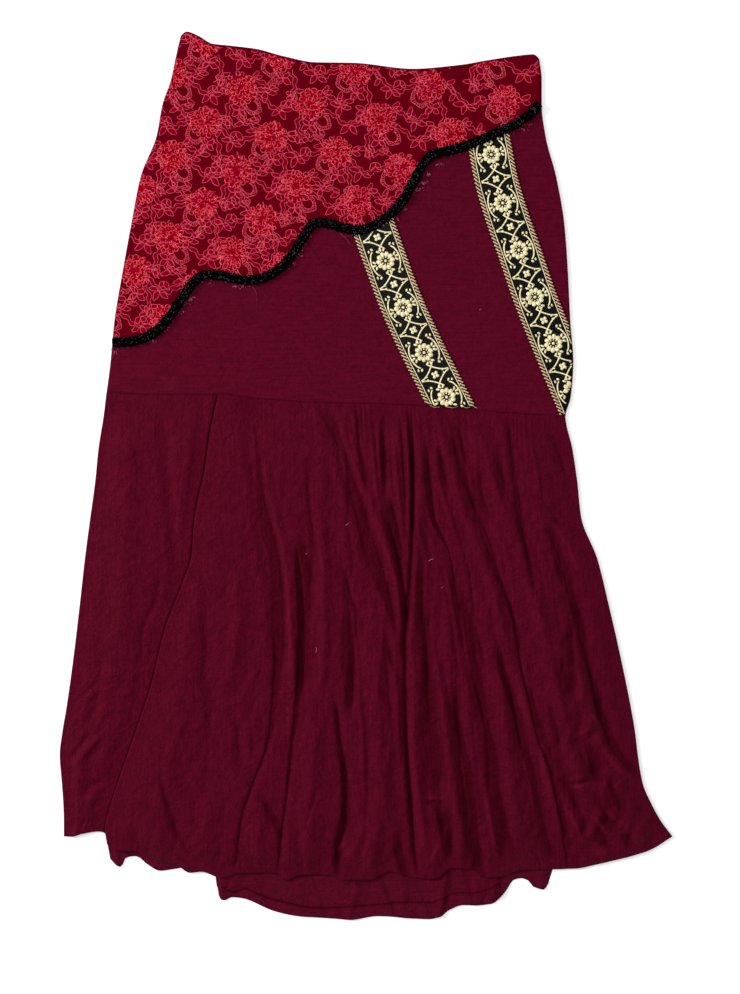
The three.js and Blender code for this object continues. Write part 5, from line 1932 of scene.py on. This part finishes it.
    def add_band(
        self, work: MeshWork, first: tuple[Array, Array], second: tuple[Array, Array], raised: float
    ) -> None:
        """Add a filled band between two lines where both lie on the lace."""
        keep = self.inside(*first, 0.4) & self.inside(*second, 0.4)
        for part in unbroken(keep):
            edges = []
            for x, down in (first, second):
                base = self.height(x[part], down[part]) + NET / 2
                edges.append([board_to_frame(x[part], down[part], base + up) for up in (0.0, raised)])
            (foot, top), (far_foot, far_top) = edges
            work.add_ring_chain(np.stack([foot, far_foot, far_top, top], axis=1))

    def stem(self, cords: MeshWork, fills: MeshWork, x0: float, d0: float, side: float, path: Rows) -> None:
        """Add one stem: a filled band with a wavy cord on each side."""
        steps = np.linspace(0, len(path) - 1, 26)
        knots = np.arange(len(path))
        x, down = (eased(np.interp(steps, knots, line), 3) for line in zip(*path))
        nx, nd = line_normals(x, down)
        lines = []
        for edge, wave in ((-1, 0.0), (1, 2.1)):
            reach = edge * (1.9 + 1.0 * np.sin(steps * 6.5 + wave))
            lines.append(self.spot(x0, d0, side, x + nx * reach, down + nd * reach))
            self.add_cord(cords, lines[-1], self.leaf_cord, 0.38)
        self.add_band(fills, *lines, 0.08)

    def build(self) -> None:
        """Make the net, the filled patches and the cord."""
        net = self.build_net()
        draw = random.Random(self.seed)
        flowers, leaves, fills, heads = MeshWork(), MeshWork(), MeshWork(), MeshWork()
        for x0, d0, side in self.centres():
            if not self.inside(np.array([x0]), np.array([d0]), -60.0)[0]:
                continue
            for path in STEMS:
                self.stem(leaves, fills, x0, d0, side, path)
            for spray in SPRAYS:
                fx, fd = self.spot(x0, d0, side, spray.x, spray.down)
                for turn in spray.turns:
                    radians = math.radians(turn + draw.uniform(-8, 8))
                    facing = math.atan2(math.sin(radians), side * math.cos(radians))
                    self.leaf(leaves, fills, (float(fx), float(fd)), facing, spray, draw)
            self.tendril(leaves, fills, x0, d0, side, draw)
            self.flower(flowers, heads, x0, d0, draw)
        parts = (
            (flowers, "lace_flower_cord", "lace_cord_bright", "FF7482", "DC2C42", 0.5, 1.6, 0.04),
            (leaves, "lace_leaf_cord", "lace_cord_viscose", "F46C80", "DC4058", 0.5, 2.2, 0.04),
            (fills, "lace_leaf_filling", "lace_filling_nylon", "900020", "740018", 0.62, 2.4, 0.0),
            (heads, "lace_flower_filling", "lace_filling_close", "AE001F", "640011", 0.62, 1.8, 0.0),
        )
        for work, name, yarn, light, dark, roughness, grain, specular in parts:
            finish = DyedYarn(yarn, light, dark, roughness, grain, 0.0, specular).build()
            declare(work.build(name, [finish]))


@dataclass
class GimpBraid:
    """The black gimp braid: plaited strands sewn along the lower edge of the lace.

    Attributes:
        shop: The shared form and finishes.
        width: Width over all in mm.
        pitch: Length of one plait in mm.
        strand: Radius of a strand in mm.
        step: Length of one step along it in mm.
        seed: Seed of the strands' unevenness and the fibres.
    """

    shop: Workshop
    width: float = 9.2
    pitch: float = 9.0
    strand: float = 1.25
    step: float = 1.0
    seed: int = 5

    def __post_init__(self) -> None:
        """Work out the middle line at even steps, its unit normals and its height."""
        form = self.shop.form
        x = np.linspace(BRAID_LINE[0][0], BRAID_LINE[-1][0], 3000)
        down = form.braid(x)
        length = line_length(x, down)
        even = np.arange(0, length[-1], self.step)
        self.x, self.down = (eased(np.interp(even, length, line), 6) for line in (x, down))
        self.nx, self.nd = line_normals(self.x, self.down)
        self.base = FRONT_MID + form.yoke_rise(self.x, self.down) + BRAID_RISE

    def build(self) -> bpy.types.Object:
        """Make the braid, dress it and declare what it stands for."""
        work, draw = MeshWork(), random.Random(self.seed)
        self.strands(work, draw)
        self.core(work)
        self.fuzz(work, draw)
        gimp = DyedYarn("black_gimp", "0D0E0F", "010101", 0.7, 0.8, 0.0, 0.04).build()
        # Pale flecks: fibres on top whose pale colour also paints the braid's tiny glints.
        pale_glint_flecks = DyedYarn("pale_gimp_flecks_and_glints", "7C8084", "2C3034", 0.6, 0.8, 0.0, 0.1).build()
        return declare(work.build("gimp_braid", [gimp, pale_glint_flecks]), "braid_trim")

    def strands(self, work: MeshWork, draw: random.Random) -> None:
        """Add the plaited strands, each of uneven thickness."""
        strands, sides = 7, 6
        places = np.arange(len(self.x))
        knots = np.arange(0, len(self.x) + 12, 5)
        phase = places * self.step / self.pitch * 2 * math.pi
        ring = 2 * math.pi * np.arange(sides) / sides
        nx, nd = self.nx[:, None], self.nd[:, None]
        for k in range(strands):
            shift = phase + 2 * math.pi * k / strands
            wander = np.interp(places, knots, [draw.uniform(-0.4, 0.4) for _ in knots])
            aside = (self.width / 2 - self.strand) * np.sin(shift) + wander
            lift = 1.1 * np.cos(2 * shift + k)
            fat = self.strand * (1 + 0.3 * np.sin(phase * 4.3 + 2 * k) + wander * 0.6)
            across = aside[:, None] + fat[:, None] * np.cos(ring)[None, :]
            up = (self.base + lift)[:, None] + fat[:, None] * 0.9 * np.sin(ring)[None, :]
            x, down = self.x[:, None] + nx * across, self.down[:, None] + nd * across
            work.add_ring_chain(board_to_frame(x, down, up))

    def core(self, work: MeshWork) -> None:
        """Add the flat core that the strands are plaited over."""
        edge = np.linspace(-1, 1, 5)[None, :] * (self.width / 2 - 0.8)
        core_x = self.x[:, None] + self.nx[:, None] * edge
        core_down = self.down[:, None] + self.nd[:, None] * edge
        base = self.base[:, None] + 0 * edge
        top = board_to_frame(core_x, core_down, base - 0.2)
        foot = board_to_frame(core_x[:, ::-1], core_down[:, ::-1], base - 1.2)
        work.add_ring_chain(np.concatenate([top, foot], axis=1))

    def fuzz(self, work: MeshWork, draw: random.Random) -> None:
        """Add the short fibres that stand out from both edges, and the pale ones on top, whose colour is
        partly painted highlight.
        """
        t = np.array([0.0, 0.5, 1.0])
        for _ in range(3600):
            k = draw.randrange(2, len(self.x) - 2)
            side = draw.choice((-1, 1))
            start = self.width / 2 - draw.uniform(0.3, 1.6)
            reach = draw.uniform(0.8, 2.4)
            slide = draw.uniform(-1.6, 1.6)
            away = side * (start + reach * t)
            thick = np.array([0.34, 0.26, 0.1])
            height = self.base[k] + draw.uniform(-0.4, 0.9)
            if draw.random() < 0.45:
                away = side * (draw.uniform(0.0, 3.4) + reach * t)
                height = self.base[k] + draw.uniform(1.2, 2.0)
            # Pale fibres on top: partly painted highlight for the braid's glints.
            pale = draw.random() < 0.12
            if pale:
                away = side * draw.uniform(0.0, 3.2) + 0.6 * side * t
                height = self.base[k] + draw.uniform(1.9, 2.5)
                thick = np.array([0.3, 0.38, 0.2])
            nx, nd = self.nx[k], self.nd[k]
            fx = self.x[k] + nx * away + nd * slide * t * t
            fd = self.down[k] + nd * away - nx * slide * t * t
            rings = [
                board_to_frame(fx + nd * thick * a, fd - nx * thick * a, height + thick * b)
                for a, b in ((-1.0, 0.0), (1.0, 0.0), (0.0, 1.0))
            ]
            work.add_ring_chain(np.stack(rings, axis=1), slot=int(pale))


@dataclass
class FiguredRibbon:
    """A woven black ribbon with pale gold figures, laid on the yoke.

    Attributes:
        shop: The shared form and finishes.
        node: The node that it replaces.
        middle: Places (x, down) along its middle line.
        area: Flat area of the cut in square metres; not used.
        first_rosette: Length along the middle line to the first rosette in mm.
        finishes: Materials of the figuring thread, of the borders' dashes and of the ground.
        pitch: Length of the repeat in mm.
        half: Half its width in mm.
    """

    shop: Workshop
    node: str
    middle: tuple[tuple[float, float], ...]
    area: float
    first_rosette: float
    finishes: tuple[bpy.types.Material, bpy.types.Material, bpy.types.Material]
    pitch: float = 49.6
    half: float = 21.8

    def __post_init__(self) -> None:
        """Work out the middle line at even steps and its unit normals."""
        self.form = self.shop.form
        self.down = np.linspace(self.middle[0][1], self.middle[-1][1], 1200)
        self.x = SmoothLine(flipped(self.middle))(self.down)
        self.length = line_length(self.x, self.down)
        self.nx, self.nd = line_normals(self.x, self.down)

    def place(self, u: Array, v: Array) -> tuple[Array, Array]:
        """Turn ribbon places, u across to the right and v along, into board places in mm."""
        lines = (self.x, self.down, self.nx, self.nd)
        x, down, nx, nd = (np.interp(v, self.length, line) for line in lines)
        return x - u * nx, down - u * nd

    def height(self, x: Array, down: Array) -> Array:
        """Give the height of the middle of the ribbon."""
        edge = self.form.right_side(down) - x
        return FRONT_MID + self.form.yoke_rise(x, down) + RIBBON_RISE - 1.2 * (1 - smoothstep(edge, 0, 7))

    def shows(self, x: Array, down: Array) -> Array:
        """Say which places lie on the yoke between the braid and the seam."""
        form = self.form
        return (down > form.braid(x) + 1.0) & (down < form.seam(x) - 0.6) & (x < form.right_side(down) - 0.8)

    def build(self) -> None:
        """Make the ground and its figures."""
        ground = self.build_ground()
        work = MeshWork()
        self.borders(work)
        count = int((self.length[-1] - self.first_rosette) / self.pitch) + 2
        for k in range(-1, count):
            v = self.first_rosette + k * self.pitch
            self.rosette(work, v)
            self.lozenge(work, v + self.pitch / 2)
            self.brackets(work, v)
        figures = declare(work.build(f"{self.node}_figures", list(self.finishes[:2])))

    def build_ground(self) -> bpy.types.Object:
        """Make the satin ground as a thin shell, cut to the braid, the seam and the side."""
        form = self.form
        rows, columns = 120, 16
        v = np.linspace(0, self.length[-1], 1600)
        u = np.linspace(-self.half, self.half, columns + 1)
        grid_x, grid_down = np.zeros((rows + 1, columns + 1)), np.zeros((rows + 1, columns + 1))
        steps = np.linspace(0, 1, rows + 1)
        for j, across in enumerate(u):
            x, down = self.place(np.full_like(v, across), v)
            start = v[np.argmax(down > form.braid(x) + 1.5)]
            past = down > form.seam(x) - 0.8
            end = v[np.argmax(past)] if past.any() else v[-1]
            grid_x[:, j], grid_down[:, j] = self.place(np.full(rows + 1, across), mix(start, end, steps))
        side = form.right_side(grid_down) - 0.7
        squeeze = grid_x[:, -1:] > side[:, -1:]
        left = grid_x[:, :1]
        room = (side[:, -1:] - left) / np.maximum(grid_x[:, -1:] - left, 1e-6)
        grid_x = np.where(squeeze, left + (grid_x - left) * room, grid_x)
        grid_down = np.where(squeeze, grid_down[:, :1] + (grid_down - grid_down[:, :1]) * room, grid_down)
        work = MeshWork()
        add_shell(work, board_to_frame(grid_x, grid_down, self.height(grid_x, grid_down)), 0.5)
        return declare(work.build(f"{self.node}_ground", [self.finishes[2]]), self.node)

    def add_thread(self, work: MeshWork, u: Array, v: Array, width: float, slot: int = 0) -> None:
        """Add a flat thread along ribbon places where they show."""
        half, raised = width / 2, 0.3
        section = ((-half, 0.0), (half, 0.0), (0.6 * half, raised), (-0.6 * half, raised))
        inside = (v > 0) & (v < self.length[-1])
        x, down = self.place(u, np.clip(v, 0, self.length[-1]))
        for part in unbroken(self.shows(x, down) & inside):
            base = self.height(x[part], down[part]) + 0.2
            work.add_thread(x[part], down[part], base, section, slot=slot)

    def add_petal(
        self, work: MeshWork, u: float, v: float, length: float, breadth: float, turn: float = 0.0
    ) -> None:
        """Add a rounded patch of gold floats.

        Args:
            work: Where it goes.
            u: Its middle across the ribbon in mm.
            v: Its middle along the ribbon in mm.
            length: Its length in mm.
            breadth: Its breadth in mm.
            turn: Direction of its length in radians from u towards v.
        """
        t = np.linspace(0, 2 * math.pi, 10, endpoint=False)
        along, aside = length / 2 * np.cos(t), breadth / 2 * np.sin(t)
        pu = u + along * math.cos(turn) - aside * math.sin(turn)
        pv = v + along * math.sin(turn) + aside * math.cos(turn)
        if pv.min() < 0 or pv.max() > self.length[-1]:
            return
        x, down = self.place(pu, pv)
        if not self.shows(x, down).all():
            return
        base = self.height(x, down) + 0.2
        foot, top = board_to_frame(x, down, base), board_to_frame(x, down, base + 0.32)
        first, second = work.add_points(foot), work.add_points(top)
        n = np.arange(len(t))
        after = (n + 1) % len(t)
        work.add_faces(np.stack([first + after, first + n, second + n, second + after], axis=-1))
        work.add_faces((second + n[::-1])[None, :])
        work.add_faces((first + n)[None, :])

    def add_dot(self, work: MeshWork, u: float, v: float, radius: float) -> None:
        """Add a small round of gold floats."""
        self.add_petal(work, u, v, 2 * radius, 2 * radius)

    def borders(self, work: MeshWork) -> None:
        """Add the roped borders: steep dashes outside a fine line."""
        v = np.arange(0, self.length[-1], 2.4)
        t = np.linspace(0, 1, 4)
        for side in (-1, 1):
            self.add_thread(work, np.full_like(v, side * 16.6), v, 0.85)
            for foot in np.arange(-6, self.length[-1], 3.9):
                across = side * 19.5 + 1.9 * (2 * t - 1)
                self.add_thread(work, across, foot + 4.6 * t, 1.45, slot=1)

    def rosette(self, work: MeshWork, v0: float) -> None:
        """Add a rosette: a dot, a ring of dots, ten full petals and four three-leaved sprigs."""
        self.add_dot(work, 0.0, v0, 1.5)
        for k in range(8):
            angle = 2 * math.pi * (k + 0.5) / 8
            self.add_dot(work, 3.6 * math.cos(angle), v0 + 3.6 * math.sin(angle), 0.75)
        for k in range(10):
            angle = 2 * math.pi * (k + 0.25) / 10
            self.add_petal(work, 6.8 * math.cos(angle), v0 + 6.8 * math.sin(angle), 5.2, 4.5, angle)
        for corner in range(4):
            middle = -0.12 + corner * math.pi / 2
            for spread, away, size in ((-0.27, 11.4, 4.2), (0.0, 12.4, 4.6), (0.27, 11.4, 4.2)):
                angle = middle + spread
                u, v = away * math.cos(angle), v0 + away * math.sin(angle)
                self.add_petal(work, u, v, size, 2.1, middle + spread * 3.2)

    def lozenge(self, work: MeshWork, v0: float) -> None:
        """Add the concave lozenge between rosettes with its four-petalled flower."""
        for k in range(4):
            angle = math.pi / 4 + k * math.pi / 2
            self.add_petal(work, 2.2 * math.cos(angle), v0 + 2.2 * math.sin(angle), 3.7, 3.1, angle)
        t = np.linspace(0, 1, 12)
        for side in (-1, 1):
            for end in (-1, 1):
                u = side * mix(14.8, -3.4, t)
                self.add_thread(work, u, v0 + end * (0.6 + 12.8 * t**1.75), 1.45)
                self.add_petal(work, side * 8.8, v0 + end * 1.3, 2.2, 1.1)

    def brackets(self, work: MeshWork, v0: float) -> None:
        """Add the pointed arcs that frame a rosette along both borders, with their leaf dots."""
        t = np.linspace(-1, 1, 15)
        for side in (-1, 1):
            self.add_thread(work, side * (9.6 + 4.9 * (1 - t * t) ** 0.7), v0 + 12.6 * t, 1.5)
            for end in (-1, 1):
                self.add_petal(work, side * 9.6, v0 + end * 14.8, 3.2, 2.1, end * side * 0.9)
                self.add_petal(work, side * 13.0, v0 + end * 13.6, 3.0, 1.8, math.pi / 2)


@dataclass(frozen=True)
class Tuft:
    """A place where cut lace or ribbon frays.

    Attributes:
        x: Its place to the right on the board in mm.
        down: Its place towards the hem in mm.
        spread: Half its length along the braid in mm.
        count: How many fibres it has.
        pale: Share of its fibres that are pale.
    """

    x: float
    down: float
    spread: float
    count: int
    pale: float


LACE_TUFTS = (
    Tuft(115, 350, 3, 12, 0.5), Tuft(153, 341, 4, 9, 0.2), Tuft(181, 312, 4, 8, 0.2),
    Tuft(186, 303, 5, 10, 0.3), Tuft(191.5, 298.6, 2, 8, 0.9), Tuft(236, 286, 4, 10, 0.5),
    Tuft(244, 286, 4, 9, 0.3), Tuft(293, 264, 4, 9, 0.3), Tuft(299, 256, 4, 8, 0.2),
    Tuft(395.5, 219, 3, 7, 0.2), Tuft(404.6, 209, 3, 8, 0.3), Tuft(419.5, 190, 4, 10, 0.4),
    Tuft(424, 183, 4, 12, 0.3), Tuft(428, 174, 3, 10, 0.4), Tuft(438, 164, 4, 8, 0.3),
    Tuft(524, 129, 4, 9, 0.3), Tuft(530, 124, 3, 8, 0.3), Tuft(512, 134, 4, 6, 0.1),
    Tuft(167, 330, 4, 6, 0.1), Tuft(213, 284, 4, 6, 0.1), Tuft(310, 234, 4, 6, 0.1),
)
LOOSE_THREADS = (
    ((253, 287), (256, 291), (257.5, 298), (257, 306)),
    ((341, 235), (345, 238), (348, 241), (351, 247)),
    ((116, 352), (114, 356), (111, 362)),
)
LINT = (
    ((346, 525), (348, 524), (350, 522)),
    ((306, 554), (308, 553)),
    ((316, 652), (317, 649), (316, 647)),
    ((428, 561), (431, 559), (434, 558.5)),
    ((479, 310.5), (481, 309.5)),
    ((441, 588), (443, 586)),
    ((190, 94), (191, 92)),
)
TACK = ((172.5, 90.5), (178, 90), (184, 90.6), (188.5, 91.5))
RIBBON_FRAY = (
    ((470, 405), (474, 407), (477, 408)),
    ((462, 406.5), (466, 408), (470, 407.5)),
    ((428, 404.5), (434, 407.5), (440, 407)),
    ((445, 406.5), (452, 408), (458, 406.8)),
)


@dataclass
class LooseFibres:
    """The frayed edge of the lace under the braid, loose threads and specks of lint.

    Attributes:
        shop: The shared form and finishes.
        braid: The braid whose edge the lace frays along.
        thick: Thickness of a fibre in mm.
        seed: Seed of the fibres' places.
    """

    shop: Workshop
    braid: GimpBraid
    thick: float = 0.7
    seed: int = 3

    def add(self, work: MeshWork, route: Rows, rise: float, thick: float, slot: int) -> None:
        """Add one fibre along board places."""
        x, down = np.array(route, float).T
        form = self.shop.form
        on_yoke = (down < form.seam(x)).all()
        low = form.yoke_front(x, down) if on_yoke else form.front_height(x, down)
        section = ((-thick / 2, 0.0), (thick / 2, 0.0), (0.0, thick))
        work.add_thread(x, down, low + CLOTH / 2 + rise, section, slot=slot)

    def tufts(self, work: MeshWork, draw: random.Random) -> None:
        """Add the tufts, each a few bent fibres that point anywhere."""
        for tuft in LACE_TUFTS:
            for _ in range(tuft.count):
                x = tuft.x + draw.uniform(-tuft.spread, tuft.spread)
                down = tuft.down + draw.uniform(-1.5, 1.5)
                turn = draw.uniform(0.0, math.pi)
                reach = draw.uniform(1.2, 3.6)
                bend = draw.uniform(-1.0, 1.0)
                dx, dd = reach * math.cos(turn), reach * math.sin(turn)
                route = [(x, down), (x + 0.5 * dx + bend, down + 0.5 * dd), (x + dx, down + dd)]
                rise, thick = draw.uniform(0.1, 1.2), self.thick * draw.uniform(0.6, 1.1)
                self.add(work, route, rise, thick, int(draw.random() < tuft.pale))

    def frayed_edge(self, work: MeshWork, draw: random.Random) -> None:
        """Add short fibres all along the lower edge of the braid, thicker in some stretches."""
        braid = self.braid
        for k in range(4, len(braid.x) - 4):
            if draw.random() > 0.42 + 0.3 * math.sin(k / 11) + 0.2 * math.sin(k / 37):
                continue
            nx, nd = braid.nx[k], braid.nd[k]
            away = draw.uniform(4.4, 5.4)
            x, down = braid.x[k] + nx * away, braid.down[k] + nd * away
            slide, reach = draw.uniform(-1.0, 1.0), draw.uniform(0.6, 1.5)
            dx, dd = nx * reach + nd * slide, nd * reach - nx * slide
            route = [(x + share * dx, down + share * dd) for share in (0.0, 0.5, 1.0)]
            self.add(work, route, draw.uniform(0.1, 0.6), 0.5, int(draw.random() < 0.2))

    def build(self) -> None:
        """Make the fibres."""
        draw = random.Random(self.seed)
        work = MeshWork()
        self.tufts(work, draw)
        self.frayed_edge(work, draw)
        for route in LOOSE_THREADS:
            self.add(work, route, 0.2, 0.6, 0)
        for route in LINT:
            on_lace = route[0][1] < 120
            self.add(work, route, 2.2 if on_lace else 0.2, 0.55, 1)
        self.add(work, TACK, 1.9, 0.9, 2)
        for route in RIBBON_FRAY:
            self.add(work, route, 0.6, 0.8, 3)
        yarns = (
            DyedYarn("lace_fray", "B83C58", "8A1C38", 0.6, 1.5, 0.0, 0.02),
            DyedYarn("pale_lint", "C88C9C", "8E4A60", 0.6, 1.5, 0.0, 0.02),
            DyedYarn("wine_sewing_thread", "3A0614", "2A040E", 0.6, 1.5, 0.0, 0.1),
            DyedYarn("gold_fray", "F2DCA8", "B89460", 0.5, 1.2, 0.0, 0.1),
        )
        declare(work.build("loose_fibres", [yarn.build() for yarn in yarns]))


@dataclass
class Stage:
    """The pale floor, the soft lights and the camera straight above.

    Attributes:
        frame_height: Height of the photographed field in mm.
        middle_x: Board x at the middle of the picture.
        middle_down: Board down at the middle of the picture.
        distance: Height of the camera above the skirt in metres.
    """

    frame_height: float = 994.0
    middle_x: float = 370.0
    middle_down: float = 497.0
    distance: float = 1.7

    def floor(self) -> None:
        """Make the floor, just below the skirt."""
        half, low = 3.0, -0.0002
        places = [(-half, -half, low), (half, -half, low), (half, half, low), (-half, half, low)]
        work = MeshWork()
        first = work.add_points(np.array(places))
        work.add_faces(np.array([[first, first + 1, first + 2, first + 3]]))
        book = NodeBook("pale_floor")
        mottle = book.noise(book.place(), 6.0)
        material = book.surface(
            {
                "Base Color": book.ramp(mottle, [(0.3, "F7F7F7"), (0.7, "FCFCFC")]),
                "Roughness": 0.9,
                "Specular IOR Level": 0.1,
                "Emission Color": (1.0, 1.0, 1.0, 1.0),
                "Emission Strength": 0.3,
            }
        )
        work.build("floor", [material])

    def lamp(self, name: str, place: tuple[float, float, float], power: float, size: float) -> None:
        """Add a square soft light that faces the skirt's middle.

        Args:
            name: The light's name.
            place: Where it stands, in metres.
            power: Its power in watts.
            size: The length of its sides in metres.
        """
        data = bpy.data.lights.new(name, "AREA")
        data.energy = power
        data.size = size
        lamp = bpy.data.objects.new(name, data)
        lamp.location = place
        aim = -np.array(place)
        lamp.rotation_mode = "QUATERNION"
        lamp.rotation_quaternion = Vector(aim).to_track_quat("-Z", "Y")
        bpy.context.scene.collection.objects.link(lamp)

    def build(self) -> None:
        """Make the floor, lights, surroundings and camera."""
        self.floor()
        self.lamp("overhead", (-0.4, 0.5, 2.4), 16.0, 1.0)
        self.lamp("side", (-2.3, 0.7, 1.5), 54.0, 0.8)
        world = bpy.data.worlds.new("surroundings")
        world.use_nodes = True
        world.node_tree.nodes["Background"].inputs["Color"].default_value = (1, 1, 1, 1)
        world.node_tree.nodes["Background"].inputs["Strength"].default_value = 0.4
        bpy.context.scene.world = world
        data = bpy.data.cameras.new("camera")
        data.sensor_width = 36.0
        data.lens = 36.0 * self.distance / (self.frame_height * MM)
        camera = bpy.data.objects.new("camera", data)
        middle = board_to_frame(self.middle_x, self.middle_down, 2.0)
        camera.location = (float(middle[0]), float(middle[1]), self.distance)
        bpy.context.scene.collection.objects.link(camera)
        bpy.context.scene.camera = camera
        bpy.context.scene.view_settings.view_transform = "Standard"


def corners(pair: Iterable[Iterable[float]]) -> list[list[float]]:
    """Turn a pair of corners into plain lists."""
    return [[float(v) for v in corner] for corner in pair]


def main() -> None:
    """Build every sub-assembly in order."""
    logging.basicConfig(level=logging.INFO, format="%(name)s: %(message)s")
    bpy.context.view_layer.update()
    Stage().build()
    shop = Workshop()
    YokeBack(shop, "yoke_back", (120, 80), (0.465, 0.38), 0.147, "floor").build()
    FlounceBack(shop, "flounce_back", (240, 120), (0.61, 0.53), 0.26, "floor").build()
    HemTurnup(shop, "hem_turnup_back", (240, 8), (0.29, 0.016), 0.0036, "flounce_back_cloth").build()
    YokeFront(shop, "yoke_front", (220, 180), (0.465, 0.38), 0.147, "yoke_back_cloth").build()
    FlounceLeft(shop, "flounce_left", (90, 220), (0.2, 0.46), 0.048, "flounce_back_cloth").build()
    front_cut = (0.72, 0.49)
    FlounceFront(shop, "flounce_front", (310, 228), front_cut, 0.25, "flounce_back_cloth", "gathered").build()
    LaceOverlay(shop).build()
    braid = GimpBraid(shop)
    braid.build()
    # Painted glint: the gold figuring and the rope glow faintly; the gold's wide light-to-dark range of
    # random patches also paints its sparkle.
    gold = DyedYarn("gold_figuring", "FFF6CC", "A8904A", 0.4, 0.9, 0.0, 0.25, 0.0, 0.27).build()
    rope = DyedYarn("gold_rope", "EBCBA4", "B08A64", 0.45, 1.1, 0.0, 0.1, 0.0, 0.12).build()
    finishes = (gold, rope, SatinGround().build())
    FiguredRibbon(shop, "ribbon_centre", RIBBON_CENTRE_LINE, 0.0093, 58.0, finishes).build()
    FiguredRibbon(shop, "ribbon_side", RIBBON_SIDE_LINE, 0.0122, 44.3, finishes).build()
    LooseFibres(shop, braid).build()


if __name__ == "__main__":
    main()
